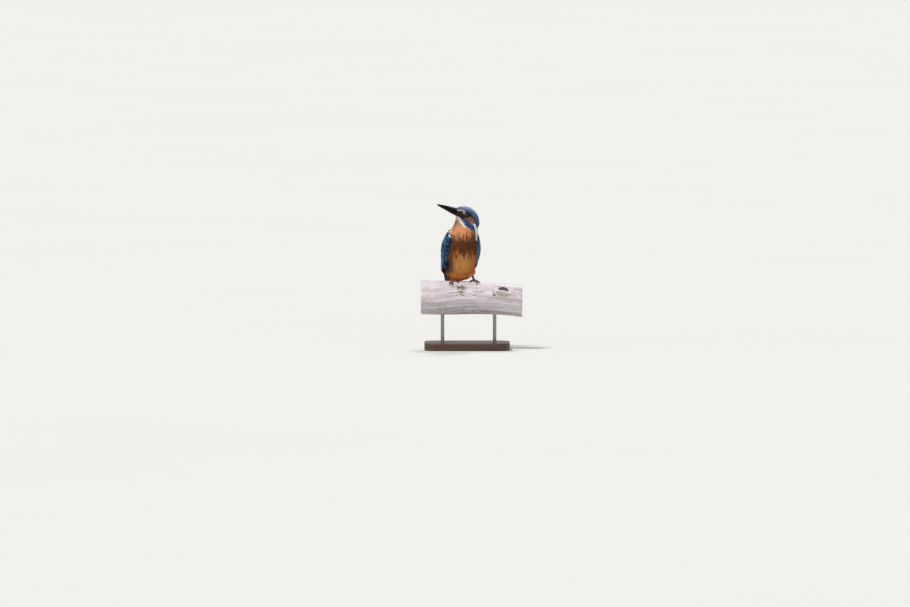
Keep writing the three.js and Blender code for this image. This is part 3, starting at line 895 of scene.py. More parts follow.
# -------- markings
# Outlines on the side of the head, as (behind the eyes, up) in millimetres. Neighbours overlap, so that they
# leave no gap between them, and markings says which lies over which.
MALAR = (
    (-12, -2), (-2.9, -2.5), (1.8, -4.4), (5.5, -5.8), (9.4, -7.3), (12.5, -8.6), (16.5, -12.0),
    (20.2, -16.4), (17.5, -18.2), (10.4, -17.2), (5.8, -15.8), (1.3, -13.5), (-1.7, -9.9), (-4.2, -7.0),
    (-7.9, -5.3), (-11.8, -4.5))
EAR = (
    (-1.8, -3.4), (1.2, -1.8), (5.0, 0.0), (9.8, -0.6), (13.5, -3.0), (16.4, -6.4), (14.0, -8.4), (9.6, -8.4),
    (5.6, -6.6), (1.6, -5.3), (-0.6, -5.0))
NECK_PATCH = (
    (12.0, -8.4), (15.7, -6.5), (19.2, -9.4), (23.0, -14.0), (26.0, -20), (27.0, -28), (23.2, -28),
    (21.2, -22), (18.8, -15.8), (15.9, -12.3))
CREAM = (
    (-15, -3.4), (-11.8, -4.1), (-7.9, -4.8), (-4.2, -6.5), (-1.7, -9.4), (1.3, -13.0), (4.5, -15.0),
    (2.6, -17.4), (-0.9, -16.0), (-3.6, -12.6), (-5.6, -9.2), (-8.6, -7.0), (-15, -5.6))
CROWN_LINE = (
    (-16, 3.2), (-13.2, 4.4), (-10, 5.6), (-7, 6.3), (-5, 4.9), (-1.4, 4.3), (3.3, 3.2), (6.6, 1.0),
    (11, -1.0), (15.4, -4.2), (17.3, -6.4), (21.1, -9.9), (24.5, -14), (28, -21))
LORE = (
    (-16, 2.4), (-14.4, 2.8), (-12.5, 4.6), (-9.5, 5.8), (-6.3, 5.8), (-4.5, 3.8), (-4.1, 0.8), (-5.9, 0.4),
    (-6.4, 2.6), (-8.0, 3.8), (-10.5, 3.6), (-12.7, 2.6), (-16, 1.4))
DARK_FACE = (
    (-16.5, -5.0), (-16.5, 1.6), (-12.7, 2.5), (-10.5, 3.5), (-8.0, 3.7), (-6.5, 2.6), (-6.0, 0.2),
    (-4.2, 0.6), (-4.6, 3.9), (-2.0, 4.8), (3.0, 4.0), (6.4, 1.8), (7.2, -0.4), (2.5, -1.4), (-1.0, -3.2),
    (-1.4, -6.2), (-2.6, -8.0), (-4.4, -6.4), (-7.9, -4.9), (-11.8, -4.2))
# White down each side of the neck to the front of the wing: the turn of its middle at its lowest place, how
# far that turns for each mm up, half its width in degrees, and its lowest and highest places.
NECK_STRIPES = ((50, 0.0, 8, 150, 168), (-71, -3.2, 3.5, 155, 167))
NECK_TURN = -77.0  # degrees that the head's middle is turned from the breast's


def markings(plumage, points, run, wing, gap):
    """The coat's colour at each point, its feathers' tip colour, where along a feather the tips start,
    how far across it they reach, and its gloss."""
    coat = {key: np.array(getattr(plumage, key)) for key in plumage.__annotations__
            if np.ndim(getattr(plumage, key))}
    wobble = joined(*(cloud(points, 2.4, seed) for seed in (1, 2, 3))) - 0.5
    behind, _, up = HEAD.place(points + wobble * 1.3)
    turn, height = BODY.place(points + wobble * 2.0)
    twisted = turn - NECK_TURN * smooth(162, 180, height)
    around = np.abs((twisted + 180) % 360 - 180)
    streak = cloud(points, (1.6, 1.6, 9.0), 5)
    speck = cloud(points, 1.5, 6)
    uneven = streak - 0.5

    # Underside: a tan throat darkened with painted shade, salmon breast, dusky band, orange belly with a tan
    # middle, and painted shade and highlights on its sides.
    tan = hill(turn, -12, 36) * window(height, 92, 110, 126, 138)
    raised = height - 8 * smooth(0, 45, turn)
    band = smooth(124, 136, height + 20 * uneven) * (1 - smooth(149, 163, raised + 16 * uneven))
    # Painted shade: sides darkens the sides of the underside towards the dusky colour, more on the bird's
    # right.
    sides = np.maximum(smooth(-34, -62, turn), 0.7 * smooth(38, 62, turn)) * window(height, 96, 112, 152, 162)
    # On the bird's left flank, edge gives painted shade along its edge higher up. With the mask above the
    # foot, it also gives a painted highlight in the Lower flank colour low down.
    edge = window(turn, 46, 62, 78, 94)
    highlight_above_foot = window(turn, 26, 44, 72, 86) * (1 - smooth(101, 107, height))
    body = painted(
        coat["belly"],
        (coat["belly_light"], tan * (0.30 + 0.9 * streak)),
        (coat["breast"], smooth(146, 158, height)),
        (coat["dusky"], np.maximum(band * (0.68 + 0.32 * speck), sides * (0.45 + 0.7 * streak))),
        (coat["dusky"] * 0.6, 0.85 * edge * window(height, 112, 120, 148, 156)),
        (coat["flank"], 0.75 * edge * (1 - smooth(104, 117, height))),
        (coat["flank"], 0.6 * highlight_above_foot),
        # The throat's tan is partly painted shade.
        (coat["throat"], smooth(168, 174, height + 5 * uneven)))

    # Upperside: blue-green shoulders with a bright stripe from the mantle to the tail.
    stripe = 1 - smooth(15, 24, 180 - around)
    low_back = 1 - smooth(112, 126, height)
    azure = np.maximum(stripe, low_back) * (1 - smooth(160, 174, height))
    shoulder = smooth(148, 154, height) * np.where(turn > 0, 42, 6)
    side_line = 102 + 40 * (1 - smooth(114, 130, height)) + 24 * smooth(110, 100, height) - shoulder
    above = smooth(-6, 6, around - side_line) * smooth(84, 92, height + around * 0.1)
    body = mix(body, mix(coat["mantle"], coat["azure"], azure), above)

    # Head.
    ear, malar, white, line = (inside(outline, behind, up, soft) for outline, soft in (
        (EAR, 0.5), (MALAR, 0.6), (NECK_PATCH, 0.6), (DARK_FACE, 0.4)))
    rim = up - np.interp(behind, *zip(*CROWN_LINE))
    cap = smooth(-0.5, 0.5, rim)
    # Painted shade on the cap, in the Nape colour: darker behind the eyes low down, and along the cap's lower
    # edge.
    shadow = smooth(14, 24, behind) * smooth(4, -6, up)
    shadow = np.maximum(shadow, smooth(5, 1.5, rim) * smooth(-6, 0, behind))
    # Painted highlight: a pale glare over the top of the forehead and crown.
    cap_glare = smooth(6.5, 12, up) * smooth(20, 10, behind)
    head = painted(
        body,
        (coat["cream"], inside(CREAM, behind, up, 0.7)),
        (coat["malar"], malar),
        (coat["ear"], ear),
        (coat["white"], white),
        (coat["lore"], inside(LORE, behind, up, 0.4)),
        (painted(coat["crown"], (coat["nape"], shadow), (coat["crown_bar"], 0.4 * cap_glare)), cap),
        (coat["line"], line * (0.95 + 0.05 * speck)))
    on_head = smooth(-24, -18, up) * smooth(-30, -24, -behind)

    # Wing coverts, the shade before them, and the white before each shoulder.
    # Painted highlight: the front edge of the bird's left wing paled towards the spot colour.
    wing_edge_glare = window(turn, 58, 70, 84, 100) * smooth(112, 120, height)
    shown = painted(
        body,
        (head, on_head),
        # Painted shade in the dip of the coat before each wing.
        (coat["dusky"] * 0.5, 0.8 * gap),
        (mix(coat["wing"], coat["wing_spot"], 0.6 * wing_edge_glare), smooth(0.1, 0.4, wing)))
    for centre, lean, half, lowest, highest in NECK_STRIPES:
        aside = np.abs(turn - centre - lean * (height - lowest))
        stripe = (1 - smooth(half - 2, half + 2, aside)) * smooth(lowest - 2, lowest + 2, height)
        shown = mix(shown, coat["white"], stripe * (1 - smooth(highest - 2, highest + 2, height)))

    # Tips: bars over the crown, flecks on the moustache, spots on the coverts, paler ends elsewhere.
    bars = on_head * cap * smooth(0.1, 0.5, np.sin(run * 2 * math.pi / 2.3 + 2 * (speck - 0.5)))
    flecks = on_head * malar * (1 - cap) * (1 - ear) * (1 - white) * (1 - line) * smooth(0.64, 0.7, speck)
    # Spots are the coverts' own marks. The extra ones on the bird's left wing, past a turn of 40 degrees, are
    # painted light that makes that wing paler.
    spots = smooth(0.5, 0.8, wing) * smooth(0.45, 0.6, cloud(points, 1.9, 9) + 0.15 * smooth(40, 70, turn))
    tip = painted(
        np.minimum(shown * 1.25 + 0.01, 1),
        (coat["crown_bar"], bars * (1 - 0.72 * shadow) * (1 - line)),
        (coat["crown_bar"], flecks * 0.6),
        (coat["wing_spot"], spots))
    blue = np.maximum(above * (1 - on_head), on_head * np.maximum(cap, malar))
    return {"base": shown, "tip": tip, "gloss": np.maximum(blue, smooth(0.3, 0.6, wing)),
            "start": np.where((bars > 0.5) | (flecks > 0.5), 0.72, PLAIN_LOOK["start"]),
            "reach": np.where(spots > 0.5, 0.55, PLAIN_LOOK["reach"])}


def skin_look(plumage, skin):
    look = markings(plumage, skin.points, skin.run, skin.wing, skin.gap)
    return mix(look["base"], look["tip"], 0.2) * 0.75


# -------- feathers
PATCH = 0.003  # width of each feather's patch on the bake map
PLAIN_LOOK = {"round": 0.17, "fray": 0.05, "camber": 0.1, "thickness": 0.07, "web": 0.0, "tint": 0.5,
              "gloss": 0.0, "start": 0.8, "reach": 2.0}


def lay_vanes(name, slot, kind, path, given, columns, rng, nodes=()):
    """Many feathers as one piece of closed thin vanes, in the feather material of that kind.

    path holds, for each feather and each station along it, the middle, the two edges (low and high), the way
    up and the way ahead. given holds each feather's length, patch, colours (base, edge and tip), thickness,
    camber and fray, and PLAIN_LOOK fills in what it doesn't say.
    """
    count, stations = path["middle"].shape[:2]
    look = {key: np.broadcast_to(np.asarray(given.get(key, value), float), (count,))
            for key, value in PLAIN_LOOK.items()}
    for key in ("base", "tip", "edge"):
        look[key] = np.broadcast_to(given.get(key, given["base"]), (count, 3))[:, None]
    length = given["length"][:, None]
    x = np.linspace(-1, 1, columns)
    along = np.linspace(0, 1, stations)
    middle_point, up = path["middle"][:, :, None], path["up"][:, :, None]
    half = (path["high"] - path["low"])[:, :, None] / 2
    bend = (path["high"] + path["low"])[:, :, None] / 2 - middle_point
    x_row = x[:, None]
    top = middle_point + half * x_row + bend * x_row ** 2
    top = top + up * (look["camber"][:, None, None] * (1 - x ** 2))[..., None]
    end = smooth(0.45, 1.0, along)[:, None]
    ragged = rng.uniform(-1, 1, (count, columns))[:, None]
    pull = look["round"][:, None, None] * end * x ** 2
    fray = look["fray"][:, None, None] * end ** 2 * ragged
    top = top + path["ahead"][:, :, None] * (length[..., None] * (fray - pull))[..., None]
    under = top[:, :, columns // 2] - path["up"] * look["thickness"][:, None, None]
    points = np.concatenate([top.reshape(count, -1, 3), under], axis=1)

    # Faces of one feather: the top in squares, the underside as two strips, and a cap at each end.
    grid = np.arange(stations * columns).reshape(stations, columns)
    below = stations * columns + np.arange(stations)
    left_strip = joined(grid[:-1, 0], below[:-1], below[1:], grid[1:, 0])
    right_strip = joined(below[:-1], grid[:-1, -1], grid[1:, -1], below[1:])
    squares = np.concatenate([squares_of(grid), left_strip, right_strip])
    caps = np.array([[*grid[0], below[0]], [*grid[-1, ::-1], below[-1]]])
    offsets = np.arange(count)[:, None, None] * points.shape[1]
    mesh = new_mesh(name, points.reshape(-1, 3), [(faces + offsets).reshape(-1, faces.shape[1])
                                                  for faces in (squares, caps)])
    mesh.set_sharp_from_angle(angle=math.radians(50))

    # Colours: the tip's mark, and each corner's place on the vane for the barbs.
    lie = np.concatenate([np.repeat(along, columns), along])
    place = np.concatenate([np.tile(x, stations), np.zeros(stations)])
    marked = smooth(-0.09, 0.09, lie - look["start"][:, None])
    marked = marked * (1 - smooth(0, 0.35, np.abs(place) - look["reach"][:, None]))
    outer = smooth(0.0, 0.8, place * look["web"][:, None])
    colours = painted(look["base"], (look["edge"], outer), (look["tip"], marked))
    width = span(half[:, :, 0])
    width = np.concatenate([np.repeat(width, columns, axis=1), width], axis=1)
    lies = np.broadcast_to(lie, width.shape)
    keep(mesh, "plumage", colours.reshape(-1, 3), "FLOAT_COLOR")
    keep(mesh, "vane", joined(lie * length, place * width, lies).reshape(-1, 3), "FLOAT_VECTOR")
    for key in ("tint", "gloss"):
        keep(mesh, key, np.repeat(look[key], points.shape[1]), "FLOAT")

    # Each feather's own small patch of the bake map, at its root's place.
    patch = given["patch"][:, None] + PATCH * joined(np.broadcast_to(place / 2, width.shape), lies - 0.5)
    corners = read(mesh.loops, "vertex_index", 1, np.int32)
    layer = mesh.uv_layers.new(name="OFBake")
    layer.uv.foreach_set("vector", patch.reshape(-1, 2)[corners].astype(np.float32).ravel())
    piece_of(mesh, feather_material(kind + " feathers"), slot, *nodes)


def scatter(skin, spacing, allowed, rng):
    """Roots over the allowed part of the skin, none closer to another than the spacing there."""
    area = span(face_vectors(skin.points, skin.triangles)) / 2
    gap = spacing[skin.triangles].mean(1)
    weight = area / gap ** 2 * allowed[skin.triangles].all(1)
    tries = int(weight.sum() * 9)
    triangle = rng.choice(len(weight), tries, p=weight / weight.sum())
    weights = rng.dirichlet((1, 1, 1), tries)
    points = skin.value(skin.points, triangle, weights)
    gap = skin.value(spacing, triangle, weights)
    tree = points_tree(points)
    free = np.ones(tries, bool)
    chosen = []
    for place, (point, reach) in enumerate(zip(points.tolist(), gap.tolist())):
        if free[place]:
            chosen.append(place)
            free[[found[1] for found in tree.find_range(point, reach)]] = False
    return points[chosen], triangle[chosen], weights[chosen]


def walk(skin, roots, headings, lengths, halves, lift, loose, follow=0.6):
    """Paths over the skin, one for each feather, from its root along its heading and the lie of the coat.

    halves and lift give, for each feather and station, half its width and its height over the skin. loose
    is 0 for a feather that lies along the skin and 1 for one that hangs straight on from its root.
    """
    steps = halves.shape[1]
    on, up, lie = skin.shadow(roots)
    ahead = unit(headings - up * dot(headings, up)[:, None])
    stations = {"middle": [], "low": [], "high": [], "up": [], "ahead": []}
    for step in range(steps):
        if step:
            free = on + ahead * (lengths / (steps - 1))[:, None]
            below, new_up, lie = skin.shadow(free)
            on = mix(below, free, loose)
            up = unit(mix(new_up, up, loose))
            ahead = ahead + (follow * (1 - loose))[:, None] * (lie - ahead)
            ahead = unit(ahead - up * dot(ahead, up)[:, None])
        aside = np.cross(up, ahead)
        height = lift[:, step][:, None]
        stations["middle"].append(on + up * height)
        stations["up"].append(up)
        stations["ahead"].append(ahead)
        for key, sign in (("low", -1), ("high", 1)):
            edge = on + aside * (sign * halves[:, step])[:, None]
            below, edge_up, _ = skin.shadow(edge)
            below = mix(below, edge, loose)
            edge_up = unit(mix(edge_up, up, loose))
            stations[key].append(below + edge_up * height * 0.85)
    return {key: np.stack(values, axis=1) for key, values in stations.items()}


# How the feathers grow with the distance from the bill, all in millimetres.
RUN_STOPS = (0, 6, 13, 26, 42, 62, 100)
LENGTHS = (1.3, 1.9, 2.7, 3.8, 5.4, 7.0, 8.6)
HALVES = (0.48, 0.62, 0.80, 1.0, 1.3, 1.6, 1.8)
SPACINGS = (0.46, 0.54, 0.66, 0.82, 1.02, 1.18, 1.26)
COVERT = {"length": (3.2, 5.4), "half": (1.25, 2.0), "spacing": (0.92, 1.30)}  # down the wing
# Belly feathers all hang at one height and none at another, and some hang under the belly.
HANG = {"all": 98.5, "none": 105.0, "loose": 0.75, "down": 1.8, "longer": 0.9,
        "under": 0.65, "under_below": 112, "under_turn": 75}
COVERT_END = 0.5  # share of the wing that scattered coverts cover
OUTLINE = (0.34, 0.72, 0.93, 1.0, 0.97, 0.82, 0.46)  # a contour feather's width at each station
RISE = (-0.12, 0.28, 0.52, 0.70, 0.82, 0.89, 0.90)  # its height there, as a share of the coat's depth


def lay_coat(plumage):
    """Contour feathers over the whole skin, and the small coverts of the wings."""
    skin = made["skin"]
    rng = np.random.default_rng(plumage.seed)
    wing_run = wing_share(skin.points)
    low_leg = ankle_distance(skin.points)
    size = {}
    for key, stops in (("length", LENGTHS), ("half", HALVES), ("spacing", SPACINGS)):
        plain = np.interp(skin.run, RUN_STOPS, stops)
        on_wing = between(*COVERT[key], np.clip(wing_run / COVERT_END, 0, 1))
        size[key] = between(plain, on_wing, skin.wing) * (0.3 + 0.7 * smooth(0, 16, low_leg))
    behind, _, _ = HEAD.place(skin.points)
    clear = np.min([span(skin.points - middle("eye_" + side)) for side in SIDES], axis=0)
    allowed = (behind > -BILL_FACE + 0.3) & (clear > EYE_ROOM + 0.05) & (low_leg > 1.2)
    allowed &= ~((skin.wing > 0.5) & (wing_run > COVERT_END + 0.04))
    crowding = 1 / math.sqrt(plumage.crowding)
    roots, triangle, weights = scatter(skin, size["spacing"] * crowding, allowed, rng)
    count = len(roots)

    def here(values):
        return skin.value(values, triangle, weights)

    at = {key: here(values) for key, values in size.items()}
    run, wing, lie, up = (here(values) for values in (skin.run, skin.wing, skin.lie, skin.normals))
    kind = skin.kind[skin.triangles[triangle, 0]]
    heading = lie + np.cross(up, lie) * np.tan(rng.normal(0, math.radians(6), count))[:, None]
    turn, height = BODY.place(roots)
    hanging = (1 - smooth(HANG["all"], HANG["none"], height)) * (1 - wing)
    below = (height < HANG["under_below"]) & (np.abs(turn) < HANG["under_turn"])
    hanging = np.maximum(hanging, HANG["under"] * smooth(0.15, 0.6, -up[:, 2]) * below)
    heading = unit(heading) + HANG["down"] * hanging[:, None] * np.array((0, 0, -1.0))
    lengths = at["length"] * rng.uniform(0.88, 1.1, count) * (1 + HANG["longer"] * hanging)
    for side in SIDES:
        towards = middle("eye_" + side) - roots
        away = span(towards)
        facing = dot(towards, unit(heading)) / away
        room = np.where(facing > 0.35, (away - EYE_ROOM + 0.25) * 1.1, 99)
        lengths = np.minimum(lengths, np.maximum(room, 0.5))
    halves = np.minimum(at["half"], lengths * 0.62)[:, None] * np.array(OUTLINE)
    depth = coat_depths(plumage, run, wing) * (0.35 + 0.65 * here(smooth(1, 12, low_leg)))
    lift = depth[:, None] * np.array(RISE) * rng.uniform(0.9, 1.06, count)[:, None]
    path = walk(skin, roots, heading, lengths, halves, lift, HANG["loose"] * hanging)
    for key in ("middle", "low", "high"):
        path[key] = made["wood"].pushed_out(path[key], 0.25)
    look = markings(plumage, path["middle"][:, -2], run + lengths * 0.8, wing, here(skin.gap))
    first = triangle < len(skin.quads)
    picked = np.where(first[:, None], (0, 1, 2), (0, 2, 3))
    patch = np.take_along_axis(skin.uv[triangle % len(skin.quads)], picked[..., None], axis=1)
    look.update({
        "length": lengths, "patch": (patch * weights[..., None]).sum(1), "round": 0.27,
        "camber": at["half"] * 0.06, "thickness": 0.04 + 0.012 * at["half"], "tint": rng.uniform(0, 1, count),
        "fray": np.interp(run, (15, 30, 50), (0.02, 0.04, 0.10)) * (1 - 0.7 * wing)})
    for name, slot, members in coat_areas(kind, run, turn, height):
        part_path = {key: values[members] for key, values in path.items()}
        part_look = {key: values[members] if np.ndim(values) else values for key, values in look.items()}
        kind_of = "Head" if name in ("face_feathers", "crown_feathers") else "Body"
        lay_vanes(name, slot, kind_of, part_path, part_look, 5 if name == "face_feathers" else 7, rng)


FACE_END, CROWN_END = 15, 27  # distances from the bill where the pieces of the head's coat part
BREAST_LOW, FRONT_TURN = 143, 95  # height and turn where the pieces of the body's coat part


def coat_areas(kind, run, turn, height):
    """The coat in pieces of a moderate size: name, material slot, and which feathers."""
    head, left_leg, right_leg, left, right = (
        kind == FLESH.index(name) for name in ("head", "leg_left", "leg_right", "wing_left", "wing_right"))
    legs = left_leg | right_leg
    body = ~(head | left | right | legs)
    front = np.abs(turn) < FRONT_TURN
    areas = {
        "face_feathers": ("crown", head & (run < FACE_END)),
        "crown_feathers": ("crown", head & (run >= FACE_END) & (run < CROWN_END)),
        "nape_feathers": ("crown", head & (run >= CROWN_END)),
        "breast_feathers": ("breast", body & front & (height >= BREAST_LOW)),
        "belly_feathers": ("breast", body & front & (height < BREAST_LOW)),
        "back_feathers": ("breast", body & ~front),
        "thigh_feathers": ("breast", legs),
        "wing_left_coverts": ("wing", left),
        "wing_right_coverts": ("wing", right),
    }
    return [(name, slot, np.flatnonzero(members)) for name, (slot, members) in areas.items()]


def ankle_distance(points):
    """How far each point is from the nearer ankle, where feathers give way to bare skin."""
    feet = [solid("foot_" + side)[0] for side in SIDES]
    return np.min([span(points - foot[foot[:, 2] > foot[:, 2].max() - 1.5].mean(0)) for foot in feet], axis=0)


# -------- wings
class WingPatch:
    """The outer surface of a folded wing: down it from shoulder to tip, and across it from front to back."""
    ROWS, COLUMNS, BINS = 46, 22, 14

    def __init__(self, side):
        self.sign = SIDES[side]
        points, triangles = stacked([solid("wing_" + side), solid("wingtip_" + side)])
        tree = tree_of(points, triangles)
        self.top = middle("neck")
        self.axis = unit(middle("tail") - self.top)
        out = self.sign * BODY.left
        self.out = unit(out - self.axis * (out @ self.axis))
        back = np.cross(self.axis, self.out)
        self.back = back * np.sign(back @ BODY.back)
        down, turn = self.measure(points)
        self.first, self.last = down.min(), down.max()
        bins = np.linspace(0, 1, self.BINS + 1)
        which = np.clip(np.digitize(self.share_down(points), bins) - 1, 0, self.BINS - 1)
        full = np.unique(which)
        centres = ((bins[:-1] + bins[1:]) / 2)[full]
        edges = [np.polyfit(centres, [pick(turn[which == place]) for place in full], 4)
                 for pick in (np.min, np.max)]
        grid = np.full((self.ROWS, self.COLUMNS, 3), np.nan)
        for row, place in enumerate(np.linspace(0.012, 0.985, self.ROWS)):
            start = self.top + self.axis * between(self.first, self.last, place)
            turns = np.linspace(*(np.polyval(edge, place) for edge in edges), self.COLUMNS + 2)[1:-1]
            for column, angle in enumerate(turns):
                away = math.cos(angle) * self.out + math.sin(angle) * self.back
                hit = tree.ray_cast((start + away * 80).tolist(), (-away).tolist(), 80)[0]
                if hit is not None:
                    grid[row, column] = hit
        grid = softened(self.filled(grid), 3)
        across_step = np.gradient(grid, axis=1)
        up = unit(np.cross(np.gradient(grid, axis=0), across_step))
        outward = grid - self.top - self.axis * ((grid - self.top) @ self.axis)[..., None]
        self.both = np.concatenate([grid, up * np.sign(dot(up, outward))[..., None]], axis=-1)
        self.width = span(across_step).sum(1)

    @staticmethod
    def filled(grid):
        """The grid with its missing places taken from their row, or from the two rows before."""
        columns = np.arange(grid.shape[1])
        for row, values in enumerate(grid):
            good = ~np.isnan(values[:, 0])
            if good.sum() < 2:
                grid[row] = 2 * grid[row - 1] - grid[row - 2]
                continue
            for axis in range(3):
                values[:, axis] = np.interp(columns, columns[good], values[good, axis])
        return grid

    def measure(self, points):
        away = points - self.top
        return away @ self.axis, np.arctan2(away @ self.back, away @ self.out)

    def share_down(self, points):
        return (self.measure(points)[0] - self.first) / (self.last - self.first)

    def at(self, down, across):
        """The points and outward directions at shares down and across the wing."""
        row = np.clip(down, 0, 1) * (self.ROWS - 1)
        column = np.clip(across, 0, 1) * (self.COLUMNS - 1)
        r = np.minimum(row.astype(int), self.ROWS - 2)
        c = np.minimum(column.astype(int), self.COLUMNS - 2)
        low, high = (mix(self.both[r, c + i], self.both[r + 1, c + i], row - r) for i in (0, 1))
        found = mix(low, high, column - c)
        return found[..., :3], unit(found[..., 3:])

    def paths(self, root, tip, halves, lift, bow):
        """Paths of feathers from root to tip, each (down, across). lift is at front, middle and back."""
        run = np.linspace(0, 1, halves.shape[1])
        down, across = (between(start[:, None], end[:, None], run) for start, end in zip(root, tip))
        across = across + bow * np.sin(math.pi * run)
        width = np.interp(down, np.linspace(0, 1, self.ROWS), self.width)
        rails = []
        for offset, height in zip((-halves / width, 0, halves / width), lift):
            on, up = self.at(down, across + offset)
            rails.append((on + up * height[..., None], on, up))
        (front, _, _), (middle_point, on, up), (back, _, _) = rails
        low, high = (front, back) if self.sign > 0 else (back, front)
        ahead = unit(np.gradient(on, axis=1))
        return {"middle": middle_point, "low": low, "high": high, "up": up, "ahead": ahead}


def wing_share(points):
    """How far down its wing each point lies, by the nearer wing."""
    shares = [made["patch_" + side].share_down(points) for side in SIDES]
    left = points @ BODY.left > middle("trunk") @ BODY.left
    return np.where(left, shares[0], shares[1])


COVERT_STATIONS, LONG_STATIONS = 8, 14  # places along a covert, and along a flight or tail feather
# Rows of a folded wing: how many feathers, then for the front-most and the back-most one its root and tip as
# (down, across), half width in mm, and how high the tip lies over the wing's surface in mm.
WING_ROWS = {
    "primaries": (10, ((0.40, 0.06), (0.985, 0.10)), ((0.40, 0.60), (0.80, 0.92)), 3.1, 0.05),
    "secondaries": (10, ((0.36, 0.12), (0.70, 0.16)), ((0.33, 0.84), (0.66, 0.93)), 3.3, 0.22),
    "tertials": (4, ((0.30, 0.66), (0.66, 0.70)), ((0.27, 0.94), (0.56, 0.96)), 3.9, 0.42),
    "greater_coverts": (13, ((0.27, 0.02), (0.47, 0.05)), ((0.26, 0.97), (0.44, 0.97)), 2.3, 0.50),
    "leading_coverts": (17, ((0.05, 0.04), (0.20, 0.03)), ((0.52, 0.04), (0.70, 0.04)), 1.5, 0.80),
    "median_coverts": (14, ((0.19, 0.02), (0.36, 0.04)), ((0.17, 0.97), (0.34, 0.97)), 2.0, 0.62),
}


def fold_wings(plumage):
    """The long feathers of both wings, in their rows."""
    rng = np.random.default_rng(plumage.seed + 1)
    for side, sign in SIDES.items():
        for row, (count, front, back, half, height) in WING_ROWS.items():
            covert = row.endswith("coverts")
            root, tip = ([between(first, last, np.linspace(0, 1, count)) for first, last in zip(*ends)]
                         for ends in zip(front, back))
            tip[0] = tip[0] + rng.normal(0, 0.004, count)
            run = np.linspace(0, 1, COVERT_STATIONS if covert else LONG_STATIONS)
            outline = np.minimum(1, 0.45 + 2.2 * run) * (1 - smooth(0.72, 1.06, run) * 0.75)
            rise = height - 0.55 * (1 - run) + rng.normal(0, 0.03, count)[:, None]
            lift = (rise + 0.30, rise + 0.12, rise - 0.22)
            path = made["patch_" + side].paths(root, tip, half * outline * np.ones((count, 1)), lift, 0.02)
            look = wing_row_look(plumage, row, count, rng)
            look.update({
                "length": span(np.diff(path["middle"], axis=1)).sum(1),
                "patch": joined(root[1], 1 - root[0]) * 0.9 + 0.05, "camber": half * 0.06,
                "thickness": 0.13, "round": 0.10 if covert else 0.07, "fray": 0.02,
                "tint": rng.uniform(0.2, 0.8, count), "gloss": 1.0, "web": -sign})
            nodes = ["wingtip_" + side] if row == "primaries" else []
            lay_vanes(f"{row}_{side}", "wing", "Body" if covert else "Flight", path, look, 9, rng, nodes)


def wing_row_look(plumage, row, count, rng):
    """Colours of one row: blue outer webs, dark inner webs, and pale spots on the coverts."""
    keys = ("flight", "flight_edge", "wing", "wing_spot", "mantle")
    flight, edge, wing, spot, mantle = (np.array(getattr(plumage, key)) for key in keys)
    if row.endswith("coverts"):
        tip = mix(wing, spot, rng.uniform(0.5, 1.0, count))
        return {"base": wing, "edge": (wing + edge) / 2, "tip": tip, "reach": rng.uniform(0.3, 0.55, count)}
    looks = {"primaries": (flight * 0.8, (flight + edge) / 2, flight * 0.8),
             "secondaries": (flight, edge, (flight + wing) / 2),
             "tertials": ((wing + flight) / 2, (edge + mantle) / 2, wing)}
    return dict(zip(("base", "edge", "tip"), looks[row]))


# -------- tail
class TailFrame:
    """The tail as a flat fan: from its root to its tip, across it, and out of its upper side."""

    def __init__(self):
        points = solid("tail")[0]
        order = points[:, 2].argsort()
        tenth = max(4, len(points) // 10)
        self.root = points[order[-tenth:]].mean(0)
        self.ahead = unit(points[order[:tenth]].mean(0) - self.root)
        self.left = unit(BODY.left - self.ahead * (BODY.left @ self.ahead))
        self.up = np.cross(self.left, self.ahead)
        down, across = ((points - self.root) @ way for way in (self.ahead, self.left))
        self.length = down.max()
        self.root_half = np.abs(across[down < self.length * 0.15]).max()
        self.half = np.abs(across).max()

    def paths(self, start, end, across, halves, lift, tilt, side=1):
        """Vanes from start to end down the tail. across holds the root's and the tip's place from its middle.
        side is 1 on the upper side and -1 underneath, and tilt lifts the edge that is nearer the middle."""
        run = np.linspace(0, 1, halves.shape[1])
        down = between(start[:, None], end[:, None], run)
        place = between(across[0][:, None], across[1][:, None], run)
        arch = -1.1 * (place / self.half) ** 2

        def spot(aside, height):
            return (self.root + down[..., None] * self.ahead + aside[..., None] * self.left
                    + (arch + side * height)[..., None] * self.up)

        middle_point = spot(place, lift)
        inner = np.sign(place[:, :1]) * tilt
        low, high = (spot(place + way * halves, lift - way * inner) for way in (-side, side))
        ahead = unit(np.gradient(middle_point, axis=1))
        up = np.broadcast_to(self.up * side, middle_point.shape)
        return {"middle": middle_point, "low": low, "high": high, "up": up, "ahead": ahead}


RECTRICES = 12
COVERT_ROWS, COVERTS_EACH, TAIL_COVERT = 5, 9, 11.0  # over the tail's root, and under it: how many, how long


